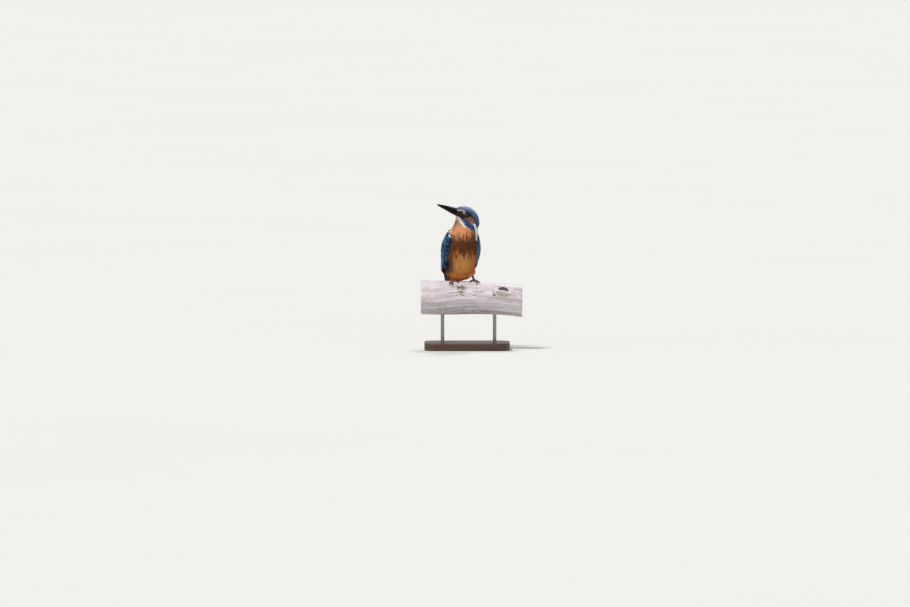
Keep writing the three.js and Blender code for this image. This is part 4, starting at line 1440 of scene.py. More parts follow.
def lay_tail(plumage):
    """Twelve tail feathers, the middle pair on top, and the coverts over and under their roots."""
    tail = TailFrame()
    rng = np.random.default_rng(plumage.seed + 2)
    half = 3.0
    place = np.linspace(-1, 1, RECTRICES)
    across = (place * (tail.root_half - half), place * (tail.half - half))
    run = np.linspace(0, 1, LONG_STATIONS)
    outline = np.minimum(1, 0.5 + 2.4 * run) * (1 - 0.55 * smooth(0.8, 1.08, run))
    halves = half * outline * np.ones((RECTRICES, 1))
    ends = tail.length * (1 - 0.05 * place ** 2) + rng.normal(0, 0.25, RECTRICES)
    lift = 0.9 - 1.3 * np.abs(place)[:, None] - 0.5 * run[None]
    path = tail.paths(np.full(RECTRICES, -3.0), ends, across, halves, lift, 0.12)
    blue, dark = np.array(plumage.tail), np.array(plumage.flight)
    look = {"length": np.full(RECTRICES, tail.length), "patch": joined(0.5 + place * 0.4, place * 0 + 0.5),
            "base": dark, "edge": blue, "tip": (dark + blue) / 2, "web": np.sign(place), "camber": 0.16,
            "thickness": 0.14, "round": 0.05, "fray": 0.012, "gloss": 1.0,
            "tint": rng.uniform(0.3, 0.7, RECTRICES)}
    lay_vanes("tail_feathers", "tail", "Flight", path, look, 9, rng, ["tail"])
    tail_coverts(tail, "rump_coverts", 1, np.array(plumage.azure), 0.52, rng)
    tail_coverts(tail, "vent_coverts", -1, np.array(plumage.belly), 0.66, rng)


def tail_coverts(tail, name, side, hue, reach, rng):
    """Soft feathers from the rump or the vent that lie over the tail's root, the longest in the middle."""
    count = COVERT_ROWS * COVERTS_EACH
    row = np.repeat(np.arange(COVERT_ROWS), COVERTS_EACH)
    place = np.tile(np.linspace(-1, 1, COVERTS_EACH), COVERT_ROWS) + rng.normal(0, 0.04, count)
    end = tail.length * reach * (1 - 0.16 * row) * (1 - 0.28 * place ** 2) + rng.normal(0, 0.5, count)
    start = end - TAIL_COVERT
    spread = np.clip(place, -1, 1) * (tail.root_half - 1.2)
    outline = np.array((0.35, 0.8, 1.0, 1.0, 0.95, 0.8, 0.45))
    run = np.linspace(0, 1, len(outline))
    lift = (1.35 + 0.42 * row)[:, None] - 0.9 * run[None] + 0.5 * (1 - place[:, None] ** 2)
    halves = 2.7 * outline * np.ones((count, 1))
    path = tail.paths(start, end, (spread * 0.9, spread), halves, lift, 0.0, side)
    look = {"length": np.full(count, TAIL_COVERT), "patch": joined(0.5 + spread / 60, 0.5 + start / 80),
            "base": hue * rng.uniform(0.8, 1.1, (count, 1)), "tip": np.minimum(hue * 1.25, 1), "camber": 0.3,
            "thickness": 0.12, "round": 0.16, "fray": 0.05, "gloss": 0.5 + 0.5 * side,
            "tint": rng.uniform(0, 1, count)}
    lay_vanes(name, "tail", "Body", path, look, 7, rng)


# -------- bill, eyes and feet
def loft(name, rings, hoop=False):
    """A closed mesh through rings of points, its faces outwards. Its ends are flat, or joined into a hoop."""
    stations, around = rings.shape[:2]
    grid = np.arange(stations * around).reshape(stations, around)
    beside = np.roll(grid, -1, axis=1)
    if hoop:
        sets = [joined(grid, np.roll(grid, -1, axis=0), np.roll(beside, -1, axis=0), beside).reshape(-1, 4)]
    else:
        sets = [joined(grid[:-1], beside[:-1], beside[1:], grid[1:]).reshape(-1, 4), grid[[0, -1]]]
        sets[1][0] = sets[1][0, ::-1]
    points = rings.reshape(-1, 3)
    volume = dot(face_vectors(points, sets[0]), points[sets[0][:, 0]] - points.mean(0)).sum()
    return new_mesh(name, points, [faces if volume > 0 else faces[:, ::-1] for faces in sets])


BILL_BURIED = 4.5  # how far the bill's root runs back inside the face
BLUNT = 2.2  # length over which the bill closes to its tip
GROOVE = {"up": 0.62, "width": 0.09, "depth": 0.30, "ahead": (15, 19, 28, 40)}
NOSTRIL = {"up": 0.56, "width": 0.10, "depth": 0.55, "ahead": 18.4, "length": 1.25}
# Where the painted lilac reflection lies: down from the ridge, and ahead of the eyes, each as (none, full) in
# mm.
BILL_GLARE = {"from_ridge": (-2.6, -0.4), "ahead": (36, 16)}


def bill_sizes(ahead):
    """The bill's ridge, seam, lower edge and half width at distances ahead of the eyes."""
    trees = {name: tree_of(*solid("bill_" + name)) for name in ("upper", "lower")}

    def hit(tree, start, axis, sense, missed):
        found = trees[tree].ray_cast(start.tolist(), (sense * axis).tolist(), 60)[0]
        return missed if found is None else (np.array(found) - HEAD.middle) @ axis

    def height(tree, place, start):
        return hit(tree, HEAD.point(-place, 0, start), HEAD.up, -np.sign(start), np.nan)

    def half_width(place, seam):
        return max(hit(tree, HEAD.point(-place, 20, seam + offset), HEAD.side, -1, 0)
                   for tree, offset in (("upper", 0.5), ("lower", -0.5)))

    levels = np.array([[
        height("upper", place, 30), (height("upper", place, -30) + height("lower", place, 30)) / 2,
        height("lower", place, -30)] for place in ahead])
    good = ~np.isnan(levels).any(1)
    levels = [np.interp(ahead, ahead[good], level[good]) for level in levels.T]
    levels.append(np.array([half_width(place, seam) for place, seam in zip(ahead, levels[1])]))
    return [softened(level[:, None], 6)[:, 0] for level in levels]


def shape_bill(bare):
    """Both halves of the bill: a long dagger with a rounded ridge, a groove, nostrils and a fine gape."""
    root = BILL_FACE - BILL_BURIED
    ahead = root + (HEAD.bill_tip - 0.15 - root) * (1 - (1 - np.linspace(0, 1, 110)) ** 1.15)
    ridge, seam, under, wide = bill_sizes(ahead)
    close = np.sqrt(np.clip((HEAD.bill_tip - ahead) / BLUNT, 0.03, 1))
    sunk = 0.72 + 0.28 * smooth(11.0, 14.9, ahead)
    wide = (np.maximum(wide, 0.3) * close * sunk)[:, None]
    place = ahead[:, None]
    bow, peak = (wave(np.linspace(0, math.pi, 33)) for wave in (np.cos, np.sin))
    horn = bill_material(bare)
    parts = (("bill_top", "bill_upper", 1, ridge - seam, 0.05, 1.12, 0.8),
             ("bill_bottom", "bill_lower", -1, seam - under, -0.05, 0.92, 0.9))
    for name, node, way, tall, gap, side_power, up_power in parts:
        tall = (np.maximum(tall, 0.25) * close * sunk)[:, None]
        side = wide * np.sign(bow) * np.abs(bow) ** side_power
        if way > 0:
            groove = GROOVE["depth"] * window(place, *GROOVE["ahead"])
            groove = groove * hill(peak, GROOVE["up"], GROOVE["width"])
            slit = NOSTRIL["depth"] * hill(place - 1.5 * (peak - 0.5), NOSTRIL["ahead"], NOSTRIL["length"])
            side = side - np.sign(bow) * (groove + slit * hill(peak, NOSTRIL["up"], NOSTRIL["width"]))
        seam_line = seam[:, None] + gap
        outer = HEAD.point(-place, side, seam_line + way * tall * peak ** up_power)
        inner = HEAD.point(-place, wide * np.linspace(-1, 1, 9)[1:-1] * 0.96, seam_line)
        mesh = loft(name, np.concatenate([outer, inner], axis=1))
        points = corners_of(mesh)
        behind, _, height = HEAD.place(points)
        below = height - np.interp(-behind, ahead, ridge)
        # sheen is the painted lilac reflection on the upper half's ridge near its root.
        sheen = smooth(*BILL_GLARE["from_ridge"], below) * smooth(*BILL_GLARE["ahead"], -behind) * (way > 0)
        keep(mesh, "sheen", sheen, "FLOAT")
        keep(mesh, "grain", joined(-behind, height, points[:, 1]) * MM, "FLOAT_VECTOR")
        piece_of(mesh, horn, "horn", node)


def bill_material(bare):
    """Black horn with a soft gloss, fine lengthwise lines and a painted lilac reflection on the ridge."""
    material, tree, shader = new_material("Bill horn", Specular_IOR_Level=0.14)
    base = blend(tree, stored(tree, "sheen"), bare.bill, bare.bill_ridge_glare)
    light, dark = ([c * share for c in bare.bill] for share in (1.8, 0.5))
    grain = grained(tree, stored(tree, "grain", "Vector"), base, light, dark, 900.0)
    worn = blend(tree, 0.45, base, grain["Colour"])
    finish(tree, shader, worn, (grain["Streaks"], 0.3, 0.7, 0.30, 0.46), (grain["Height"], 0.03, 0.5))
    return material


def square_to(pole):
    """Two directions square to one on the head, and to each other."""
    side = unit(np.cross(pole, HEAD.up))
    return side, np.cross(pole, side)


def circle(turn, side, up):
    return np.cos(turn)[..., None] * side + np.sin(turn)[..., None] * up


def ball(name, centre, pole, radius, flatten, tall=28, wide=36):
    """A ball with its pole along a direction, its front a little flattened."""
    angle = np.linspace(0, math.pi, tall + 1)[1:-1]
    turn = np.linspace(0, 2 * math.pi, wide, endpoint=False)
    high = np.cos(angle)
    high = np.where(high > 0, high * flatten, high)
    rings = high[:, None, None] * pole + np.sin(angle)[:, None, None] * circle(turn, *square_to(pole))
    return loft(name, centre + radius * rings)


LID_OPENS = 59  # degrees from the eye's pole to the rim of the lids
PUPIL_EDGE = (27, 31)  # degrees from the pole over which the pupil gives way to the iris
IRIS_EDGE = (46, 56)  # and the iris to the dark round it


def set_eyes(bare):
    """Dark, wet eyeballs and the bare rims of the lids."""
    width = bare.lid_width / MM
    wet, dry = eye_material(bare), lid_material(bare)
    turn = np.linspace(0, 2 * math.pi, 72, endpoint=False)
    ring_turn = np.linspace(0, 2 * math.pi, 12, endpoint=False)
    spread = math.radians(LID_OPENS) * (1 + 0.05 * np.cos(2 * turn) + 0.03 * np.cos(turn))
    swell = width * (1 + 0.12 * np.sin(turn * 17) + 0.08 * np.sin(turn * 29 + 1))
    for side in SIDES:
        centre = middle("eye_" + side)
        low, high = box_of("eye_" + side)
        radius = (high - low).min() / 2
        pole = eye_pole(side)
        mesh = ball("eyeball_" + side, centre, pole, radius - 0.06, flatten=0.97)
        away = unit(corners_of(mesh) - centre)
        keep(mesh, "open", np.degrees(np.arccos(np.clip(away @ pole, -1, 1))), "FLOAT")
        piece_of(mesh, wet, "eye", "eye_" + side)
        rim = np.sin(spread)[:, None] * circle(turn, *square_to(pole)) + np.cos(spread)[:, None] * pole
        outward = unit(np.cross(np.roll(rim, -1, axis=0) - np.roll(rim, 1, axis=0), rim))
        tube = circle(ring_turn, rim[:, None] * 0.8, outward[:, None] * 1.2)
        tube = (centre + radius * rim)[:, None] + swell[:, None, None] * tube
        piece_of(loft("eyelid_" + side, tube, hoop=True), dry, "eye")


def eye_material(bare):
    """A dark brown iris round a black pupil, under a wet surface."""
    material, tree, shader = new_material("Eye", Roughness=0.05, Specular_IOR_Level=0.3)
    opening = stored(tree, "open")
    rough_edge = compute(tree, "MULTIPLY_ADD", noise(tree, object_place(tree), 2600.0, 3.0), 4.0, opening)
    iris = blend(tree, ranged(tree, rough_edge, *PUPIL_EDGE), (0.003, 0.003, 0.004, 1), bare.iris)
    finish(tree, shader, blend(tree, ranged(tree, opening, *IRIS_EDGE), iris, (0.004, 0.003, 0.003, 1)))
    return material


def lid_material(bare):
    material, tree, shader = new_material("Eyelid", Roughness=0.5)
    mottle(tree, shader, bare.lid, 2500.0, (0.6, 1.6), bump=(0.08, 0.8))
    return material


SCUTE = 1.15  # from one plate of a toe to the next
TOE_VOXEL = 0.30  # spacing of the corners of toes and shanks
TOE_GROWTH, CLAW_GROWTH = 0.22, 0.10  # how far they grow from the solids before they are smoothed


def shape_feet(bare):
    """Toes and shanks with their plates and pads, and smooth curved claws."""
    toe_skin, horn = foot_material(bare), claw_material(bare)
    for side in SIDES:
        foot = "foot_" + side
        points, quads = fused([grown(solid(foot), TOE_GROWTH)], TOE_VOXEL)
        points = relaxed(points, sides_of(quads), 4)
        up = corner_normals(points, triangles_of(quads))
        claws = sorted(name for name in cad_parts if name.startswith("claw_" + side))
        to_claw = np.min([span(points - middle(name)) for name in claws], axis=0)
        drop = solid(foot)[0][:, 2].max() - points[:, 2]
        on_shank = smooth(6.5, 4.5, drop)
        run = to_claw * (1 - on_shank) + drop * 0.8 * on_shank
        plate = 1 - (0.5 + 0.5 * np.cos(run * 2 * math.pi / SCUTE)) ** 3
        above = smooth(-0.1, 0.5, np.maximum(up[:, 2], -up[:, 1] * on_shank))
        grit = cloud(points, 0.45, 12) - 0.5
        points = points + up * (0.13 * (plate - 0.8) * above + 0.10 * grit * (1 - above))[:, None]
        mesh = new_mesh("toes_" + side, points, [quads])
        keep(mesh, "scute", plate * above, "FLOAT")
        piece_of(mesh, toe_skin, "foot", foot)
        for name in claws:
            part = grown(solid(name), CLAW_GROWTH)
            claw = modified(name + "_horn", part, "SUBSURF", levels=2, render_levels=2)
            claw.shade_smooth()
            piece_of(claw, horn, "horn", name)


def foot_material(bare):
    """Dusky pink skin with darker plates and a dry gloss."""
    material, tree, shader = new_material("Foot", Subsurface_Weight=0.12, Subsurface_Scale=0.001)
    plates = times(tree, stored(tree, "scute"), 0.75)
    plated = blend(tree, plates, bare.foot, bare.foot_scute)
    mottle(tree, shader, plated, 1300.0, (0.72, 1.25), (0.42, 0.62), (0.06, 0.6))
    return material


def claw_material(bare):
    material, tree, shader = new_material("Claw")
    mottle(tree, shader, bare.claw, 900.0, (0.6, 2.2), (0.28, 0.42))
    return material


# -------- perch and stand
# Marks on the wood: the middle of each along it, and round it in radians from its top, and half its size.
# The pit and the small hole are places from the knot, along it and down from it.
KNOT = {"x": 50.0, "turn": 1.1, "half_length": 14.0, "half_height": 8.5, "most": 6.0, "bend": 0.75}
PIT = {"drop": -3.0, "half_length": 6.6, "half_height": 6.0, "depth": 2.4}
HOLE = {"x": -13.0, "drop": 5.2, "half_length": 1.3, "half_height": 1.1, "depth": 1.0}
SCAR = {"x": -8.8, "turn": 0.86, "half_length": 8.2, "half_height": 4.8}
STREAK = {"x": -9.0, "turn": 1.16, "half_length": 4.0, "half_height": 7.5}
GIRTH = 22.0  # the wood's radius on the maps of its grain
PERCH_TOES_CLEAR = 3.5  # round the toes, the carved wood keeps to the solid's own surface
END_RINGS = 34  # rings across each sawn end


class Driftwood:
    """The perch as a grid: along it, and round it from its top towards the front."""
    STOPS, TURNS, REACH = 300, 260, 40

    def __init__(self):
        points, triangles = solid("perch")
        tree = tree_of(points, triangles)
        low, high = points[:, 0].min(), points[:, 0].max()
        self.x = np.linspace(low, high, self.STOPS)
        beside = points[np.abs(points[:, 1]) > 12]
        self.height = np.polyval(np.polyfit(beside[:, 0], beside[:, 2], 4), self.x)
        self.turn = np.linspace(0, 2 * math.pi, self.TURNS, endpoint=False)
        self.away = self.out(self.turn)
        centre = joined(np.clip(self.x, low + 0.05, high - 0.05), self.x * 0, self.height)
        radius = np.array([[self.REACH - tree.ray_cast(start + away * self.REACH, -away, self.REACH)[3]
                            for away in map(Vector, self.away)] for start in map(Vector, centre)])
        self.radius = softened(self.without_sockets(radius), 14, wrap=True)

    @staticmethod
    def out(turn):
        return joined(turn * 0, -np.sin(turn), np.cos(turn))

    def without_sockets(self, radius):
        """The radius with the rods' sockets bridged along the wood."""
        for side in SIDES:
            rod = middle("stand_rod_" + side)
            for place, away in enumerate(self.away):
                hole = (np.abs(self.x - rod[0]) < 4.2) & (np.abs(away[1] * radius[:, place]) < 5)
                hole &= away[2] < -0.9
                radius[:, place] = np.interp(self.x, self.x[~hole], radius[~hole, place])
        return radius

    def points(self, radius):
        centre = joined(self.x, self.x * 0, self.height)
        return centre[:, None] + self.away * radius[..., None]

    def pushed_out(self, points, gap):
        """The points, with those inside the wood or nearer to it than the gap moved straight out of it."""
        height = points[..., 2] - np.interp(points[..., 0], self.x, self.height)
        turn = np.arctan2(-points[..., 1], height) % (2 * math.pi)
        stop = np.clip(np.searchsorted(self.x, points[..., 0]), 0, self.STOPS - 1)
        place = (turn / (2 * math.pi) * self.TURNS).astype(int) % self.TURNS
        short = np.maximum(self.radius[stop, place] + gap - np.hypot(points[..., 1], height), 0)
        return points + self.out(turn) * short[..., None]


def ridged(points, cell, seed):
    """Noise with sharp valleys, 0 in the valleys and 1 on the wide ridges between them."""
    return np.minimum(1, np.abs(cloud(points, cell, seed) - 0.5) * 6)


def carve_perch(settings):
    """Weathered driftwood: raised grain, drying cracks, a knot with its pit, a lichen scar and sawn ends."""
    wood = Driftwood()
    made["wood"] = wood
    mean = wood.radius.mean()
    x = np.repeat(wood.x[:, None], wood.TURNS, axis=1)
    turn = np.where(wood.turn > math.pi, wood.turn - 2 * math.pi, wood.turn) + 0 * x
    girth = turn * mean

    def shares(mark):
        return (x - mark["x"]) / mark["half_length"], (turn - mark["turn"]) * mean / mark["half_height"]

    # The grain bends round the knot.
    knot_x, drop = x - KNOT["x"], (turn - KNOT["turn"]) * mean
    away = np.hypot(*shares(KNOT))
    bend = np.exp(-away ** 2) * np.sign(drop) * np.minimum(np.abs(drop), KNOT["most"]) * KNOT["bend"]
    grain = girth - bend + 1.6 * np.sin(x / 31 + 0.8) + 0.8 * np.sin(x / 13 + 2)
    round_place = joined(x * 0.05, np.cos(grain / mean) * GIRTH, np.sin(grain / mean) * GIRTH)
    fine = ridged(round_place, (1.0, 0.75, 0.75), 21)
    broad = cloud(round_place, (1.6, 3.4, 3.4), 22)
    where_cracked = smooth(0.52, 0.66, cloud(round_place * (14, 1, 1), (34, 9, 9), 23))
    crack = (1 - smooth(0.0, 0.20, ridged(round_place, (2.6, 4.6, 4.6), 24))) * where_cracked

    # The pit in the knot under its lip, a small hole beside it, and the line round them.
    lip_line = drop - PIT["drop"] - 1.2 - 0.12 * knot_x
    reach = (knot_x / PIT["half_length"]) ** 2 + ((drop - PIT["drop"]) / PIT["half_height"]) ** 2
    pit = np.exp(-reach ** 2.4)
    pit *= 1 - smooth(-0.9, 0.1, lip_line)
    pit_shade = smooth(0.15, 0.45, pit) * (1 - 0.5 * smooth(0.6, 0.95, pit))
    lip = hill(lip_line, 1.0, 1.0) * (1 - smooth(8.5, 13.5, np.abs(knot_x)))
    hole = hill(knot_x, HOLE["x"], HOLE["half_length"]) * hill(drop, HOLE["drop"], HOLE["half_height"])
    rim_line = hill(away, 1.02, 0.07) * smooth(-4, 0, drop) * smooth(-6, -11, knot_x)
    stain = smooth(1.1, 0.5, away) * smooth(0.0, 2.0, lip_line - 1.0)

    # The crust before the feet, and the streak below it.
    blots = cloud(joined(x, girth, x * 0), 2.6, 25)
    along, down = shares(SCAR)
    reach = np.hypot(along - 0.35 * down, down)
    scar = smooth(1.15, 0.35, reach) * smooth(0.36, 0.5, blots + 0.20 * (1 - reach))
    along, down = shares(STREAK)
    moss = smooth(1.2, 0.3, np.hypot(along - 1.1 * down, down)) * smooth(0.26, 0.46, blots)

    tree = points_tree(np.concatenate([solid("foot_" + side)[0] for side in SIDES]))
    plain = wood.points(wood.radius).reshape(-1, 3)
    near = np.array([tree.find(point)[2] for point in plain.tolist()]).reshape(x.shape)
    relief = settings.groove / MM * ((fine - 1) * 0.8 + (broad - 0.5) * 1.3)
    relief -= settings.crack_depth / MM * crack
    relief += 0.8 * lip - PIT["depth"] * pit - HOLE["depth"] * hole - 0.45 * rim_line - 0.35 * scar * blots
    worn_edge = -0.9 * hill(np.minimum(x - wood.x[0], wood.x[-1] - x), 0, 0.7)
    clear = smooth(PERCH_TOES_CLEAR * 0.3, PERCH_TOES_CLEAR, near)
    body = wood.points(wood.radius + relief * (0.15 + 0.85 * clear) + worn_edge)

    # Both sawn ends are rings that run in to the middle.
    inward = np.linspace(0.985, 0.03, END_RINGS)[:, None]
    saw = cloud(joined(*np.broadcast_arrays(0.0, inward * GIRTH, wood.turn * 3)), 1.2, 26)
    dish = np.abs(0.0625 * np.sin(inward * 70) + 0.25 * (saw - 0.5)) * smooth(0.0, 0.06, 1 - inward)
    ends = []
    for stop, sense in ((0, 1), (-1, -1)):
        centre = np.array((wood.x[stop], 0, wood.height[stop]))
        rings = centre + (body[stop] - centre) * inward[..., None]
        rings[..., 0] += sense * dish
        ends.append(rings)
    rings = np.concatenate([ends[0][::-1], body, ends[1]])
    mesh = loft("driftwood", rings)
    # hollow darkens the cracks, the grain's valleys, the hole and the line round the knot, and paints the
    # shade inside the pit.
    hollow = crack + pit_shade + 0.9 * hole + 0.5 * rim_line + 0.35 * (1 - fine) * where_cracked
    blank = np.zeros((END_RINGS, wood.TURNS))
    heart = blank + inward
    masks = {"crack": np.clip(hollow, 0, 1), "lichen": scar, "moss": moss, "stain": stain * (0.5 + broad),
             "bleached": np.clip(lip + 0.5 * broad, 0, 1)}
    masks = {name: (blank, values, blank) for name, values in masks.items()}
    masks["heart"] = (heart[::-1], np.zeros(x.shape), heart)
    for name, values in masks.items():
        keep(mesh, name, np.concatenate(values).ravel(), "FLOAT")
    spread = np.concatenate([blank + girth[0], grain, blank + girth[-1]]) / GIRTH
    place = joined(rings[..., 0], np.cos(spread) * GIRTH, np.sin(spread) * GIRTH)
    keep(mesh, "wood_place", place.reshape(-1, 3) * MM, "FLOAT_VECTOR")
    piece_of(mesh, driftwood_material(settings), "perch", "perch")


def driftwood_material(settings):
    """Silvery, bleached wood with dark cracks, a dark crust, a pale green streak and ringed sawn ends."""
    material, tree, shader = new_material("Driftwood", Specular_IOR_Level=0.3)
    grain = grained(tree, stored(tree, "wood_place", "Vector"), settings.wood, settings.wood_light,
                    settings.wood_dark, 210.0)
    heart = stored(tree, "heart")
    ring_noise = noise(tree, object_place(tree), 90.0, 3.0)
    rings = compute(tree, "MULTIPLY_ADD", ring_noise, 7.0, times(tree, heart, 62.0))
    rings = ranged(tree, compute(tree, "SINE", rings), -0.9, 0.9)
    sawn = blend(tree, rings, settings.wood_dark, settings.heart)
    blots = noise(tree, object_place(tree), 700.0, 4.0)
    moss = compute(tree, "MULTIPLY_ADD", blots, 1.2, stored(tree, "moss"))
    hollow = compute(tree, "MULTIPLY_ADD", blots, 0.5, stored(tree, "crack"))
    layers = (
        (times(tree, stored(tree, "bleached"), 0.7), settings.wood_light),
        (ranged(tree, heart, 0.0, 0.02), sawn),
        (times(tree, stored(tree, "stain"), 0.7), settings.stain),
        (ranged(tree, moss, 0.85, 1.15, 0.0, 0.8), settings.moss),
        (times(tree, stored(tree, "lichen"), ranged(tree, blots, 0.30, 0.52)), settings.lichen),
        (ranged(tree, hollow, 0.42, 0.85, 0.0, 0.92), settings.crack),
    )
    shown = grain["Colour"]
    for amount, layer in layers:
        shown = blend(tree, amount, shown, layer)
    mottle(tree, shader, shown, 120.0, (0.90, 1.05))
    finish(tree, shader, None, (grain["Streaks"], 0.3, 0.7, 0.88, 0.70), (grain["Height"], 0.25, 0.7))
    return material


def finish_stand(settings):
    """Stained, varnished wood on the base and brushed steel on the rods."""
    wood, tree, shader = new_material("Stained base", Coat_Weight=0.25, Coat_Roughness=0.22)
    light = [c * 1.35 for c in settings.base]
    grain = grained(tree, object_place(tree), settings.base, light, settings.base_dark, 170.0)
    varnish = (grain["Streaks"], 0.3, 0.7, 0.50, 0.36)
    finish(tree, shader, grain["Colour"], varnish, (grain["Height"], 0.12, 0.35))
    dress("stand_base", wood)
    steel, tree, shader = new_material("Brushed steel", Metallic=1.0)
    brushed = stretched(tree, object_place(tree), (1.0, 1.0, 40.0))
    mottle(tree, shader, settings.rod, 260.0, (0.82, 1.08), (0.26, 0.42), (0.02, 0.4), brushed)
    for side in SIDES:
        dress("stand_rod_" + side, steel)


def dress(name, material):
    """Gives a CAD node that keeps its own shape its finish."""
    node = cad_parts[name]
    node.data.materials.clear()
    node.data.materials.append(material)


# -------- stage
FLOOR_REACH = 150000.0  # half the floor's side, far enough for its edge to be out of sight
AIM = (-16.7, 0, 63.4)  # the middle of the picture, in the plane of the perch's axis
SENSOR = 36


def set_stage(settings):
    """A plain pale floor, soft light and the camera."""
    steps = np.linspace(-FLOOR_REACH, FLOOR_REACH, 5)
    x, y = np.meshgrid(steps, steps, indexing="ij")
    mesh = new_mesh("floor", joined(x, y, x * 0).reshape(-1, 3), [squares_of(np.arange(25).reshape(5, 5))])
    material, tree, shader = new_material("Floor", Roughness=0.9, Specular_IOR_Level=0.1)
    mottle(tree, shader, settings.floor, 0.7, (0.985, 1.0))
    mesh.materials.append(material)
    new_object(mesh)

    world = bpy.data.worlds.new("Soft light")
    world.use_nodes = True
    tree = world.node_tree
    tree.nodes.clear()
    sky = add(tree, "Background", {"Color": (0.94, 0.97, 1.0), "Strength": settings.fill_power})
    backdrop = add(tree, "Background", {"Color": settings.backdrop})
    seen = add(tree, "LightPath").outputs["Is Camera Ray"]
    both = add(tree, "MixShader", {0: seen, 1: sky.outputs[0], 2: backdrop.outputs[0]})
    add(tree, "OutputWorld", {"Surface": both.outputs[0]})
    bpy.context.scene.world = world
    sun("key_light", settings.key_power, 14, (0.34, 0.42, -0.84), (1.0, 0.97, 0.92))
    sun("rim_light", settings.rim_power, 12, (-0.10, -0.55, -0.83), (0.95, 0.97, 1.0))
    bpy.context.scene.view_settings.view_transform = "Standard"

    data = bpy.data.cameras.new("camera")
    data.sensor_width = SENSOR
    data.lens = SENSOR * settings.distance / settings.view_width
    data.clip_end = 1000
    back = Vector((0, -math.cos(settings.elevation), math.sin(settings.elevation)))
    camera = aimed(data, -back)
    camera.location = Vector(AIM) * MM + back * settings.distance
    bpy.context.scene.camera = camera


def sun(name, power, soft_degrees, direction, tint):
    data = bpy.data.lights.new(name, "SUN")
    data.energy = power
    data.angle = math.radians(soft_degrees)
    data.color = tint
    aimed(data, direction)


def aimed(data, way):
    """A light or a camera, looking along a direction."""
    thing = bpy.data.objects.new(data.name, data)
    thing.rotation_mode = "QUATERNION"
    thing.rotation_quaternion = Vector(way).to_track_quat("-Z", "Y")
    bpy.context.scene.collection.objects.link(thing)
    return thing


# -------- operators and panel
class KINGFISHER_OT_skin(bpy.types.Operator):
    """Grow one skin over the solids of head, neck, body, thighs and wings"""
    bl_idname = "kingfisher.skin"
    bl_label = "Skin"

    def execute(self, context):
        for side in SIDES:
            made["patch_" + side] = WingPatch(side)
        grow_skin(context.scene.kingfisher_plumage)
        return {"FINISHED"}


class KINGFISHER_OT_coat(bpy.types.Operator):
    """Lay the contour feathers and small coverts over the skin"""
    bl_idname = "kingfisher.coat"
    bl_label = "Body feathers"

    def execute(self, context):
        lay_coat(context.scene.kingfisher_plumage)
        return {"FINISHED"}


class KINGFISHER_OT_wings(bpy.types.Operator):
    """Lay the rows of long feathers of both folded wings"""
    bl_idname = "kingfisher.wings"
    bl_label = "Wings"

    def execute(self, context):
        fold_wings(context.scene.kingfisher_plumage)
        return {"FINISHED"}


class KINGFISHER_OT_tail(bpy.types.Operator):
    """Lay the tail feathers and the coverts at their roots"""
    bl_idname = "kingfisher.tail"
    bl_label = "Tail"

    def execute(self, context):
        lay_tail(context.scene.kingfisher_plumage)
        return {"FINISHED"}


class KINGFISHER_OT_bill(bpy.types.Operator):
    """Shape both halves of the bill"""
    bl_idname = "kingfisher.bill"
    bl_label = "Bill"

    def execute(self, context):
        shape_bill(context.scene.kingfisher_bare)
        return {"FINISHED"}


class KINGFISHER_OT_eyes(bpy.types.Operator):
    """Set the eyeballs and the rims of the lids"""
    bl_idname = "kingfisher.eyes"
    bl_label = "Eyes"

    def execute(self, context):
        set_eyes(context.scene.kingfisher_bare)
        return {"FINISHED"}


class KINGFISHER_OT_feet(bpy.types.Operator):
    """Shape the feet and their claws"""
    bl_idname = "kingfisher.feet"
    bl_label = "Feet"

    def execute(self, context):
        shape_feet(context.scene.kingfisher_bare)
        return {"FINISHED"}


class KINGFISHER_OT_perch(bpy.types.Operator):
    """Carve the driftwood perch"""
    bl_idname = "kingfisher.perch"
    bl_label = "Perch"

    def execute(self, context):
        carve_perch(context.scene.kingfisher_perch)
        return {"FINISHED"}


class KINGFISHER_OT_stand(bpy.types.Operator):
    """Finish the base and the rods of the display stand"""
    bl_idname = "kingfisher.stand"
    bl_label = "Display stand"

    def execute(self, context):
        finish_stand(context.scene.kingfisher_stand)
        return {"FINISHED"}


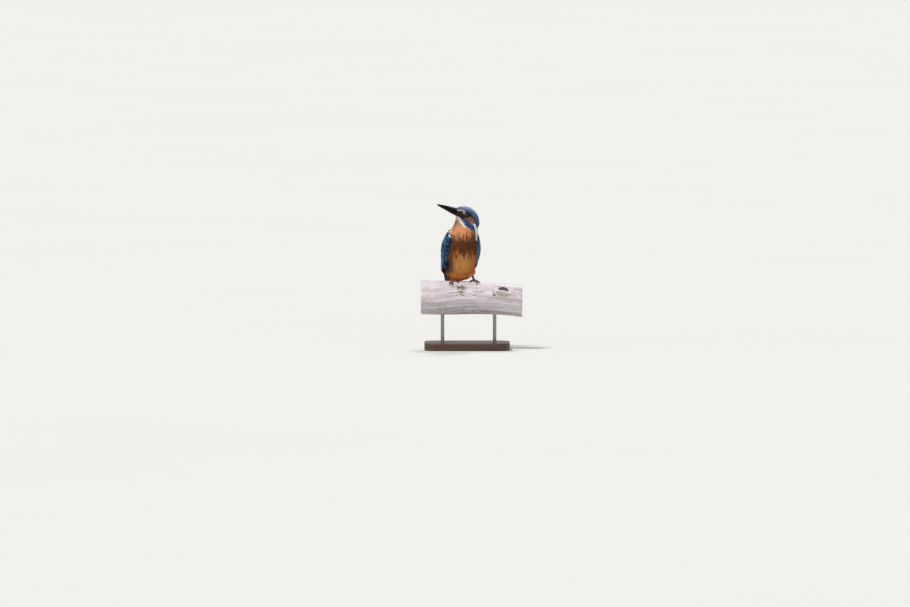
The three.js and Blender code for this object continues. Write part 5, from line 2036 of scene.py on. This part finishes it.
class KINGFISHER_OT_stage(bpy.types.Operator):
    """Set the floor, the lights and the camera"""
    bl_idname = "kingfisher.stage"
    bl_label = "Stage"

    def execute(self, context):
        set_stage(context.scene.kingfisher_stage)
        return {"FINISHED"}


OPERATORS = (
    KINGFISHER_OT_stage, KINGFISHER_OT_stand, KINGFISHER_OT_perch, KINGFISHER_OT_skin, KINGFISHER_OT_coat,
    KINGFISHER_OT_wings, KINGFISHER_OT_tail, KINGFISHER_OT_bill, KINGFISHER_OT_eyes, KINGFISHER_OT_feet)
SETTINGS = {"kingfisher_plumage": KingfisherPlumage, "kingfisher_bare": KingfisherBareParts,
            "kingfisher_perch": KingfisherPerchSettings, "kingfisher_stand": KingfisherStandSettings,
            "kingfisher_stage": KingfisherStageSettings}


class KINGFISHER_PT_panel(bpy.types.Panel):
    """Lists the kingfisher's parts in the order in which they are made"""
    bl_label = "Kingfisher"
    bl_idname = "KINGFISHER_PT_panel"
    bl_space_type = "VIEW_3D"
    bl_region_type = "UI"
    bl_category = "Kingfisher"

    def draw(self, context):
        for operator in OPERATORS:
            self.layout.operator(operator.bl_idname)
        for name, group in SETTINGS.items():
            box = self.layout.box()
            for key in group.__annotations__:
                box.prop(getattr(context.scene, name), key)


def register():
    for group in (*SETTINGS.values(), *OPERATORS, KINGFISHER_PT_panel):
        bpy.utils.register_class(group)
    for name, group in SETTINGS.items():
        setattr(bpy.types.Scene, name, PointerProperty(type=group))


def unregister():
    for name in SETTINGS:
        delattr(bpy.types.Scene, name)
    for group in (KINGFISHER_PT_panel, *OPERATORS, *SETTINGS.values()):
        bpy.utils.unregister_class(group)


def main():
    register()
    bpy.ops.kingfisher.stage()
    bpy.ops.kingfisher.stand()
    bpy.ops.kingfisher.perch()
    bpy.ops.kingfisher.skin()
    bpy.ops.kingfisher.coat()
    bpy.ops.kingfisher.wings()
    bpy.ops.kingfisher.tail()
    bpy.ops.kingfisher.bill()
    bpy.ops.kingfisher.eyes()
    bpy.ops.kingfisher.feet()


if __name__ == "__main__":
    main()
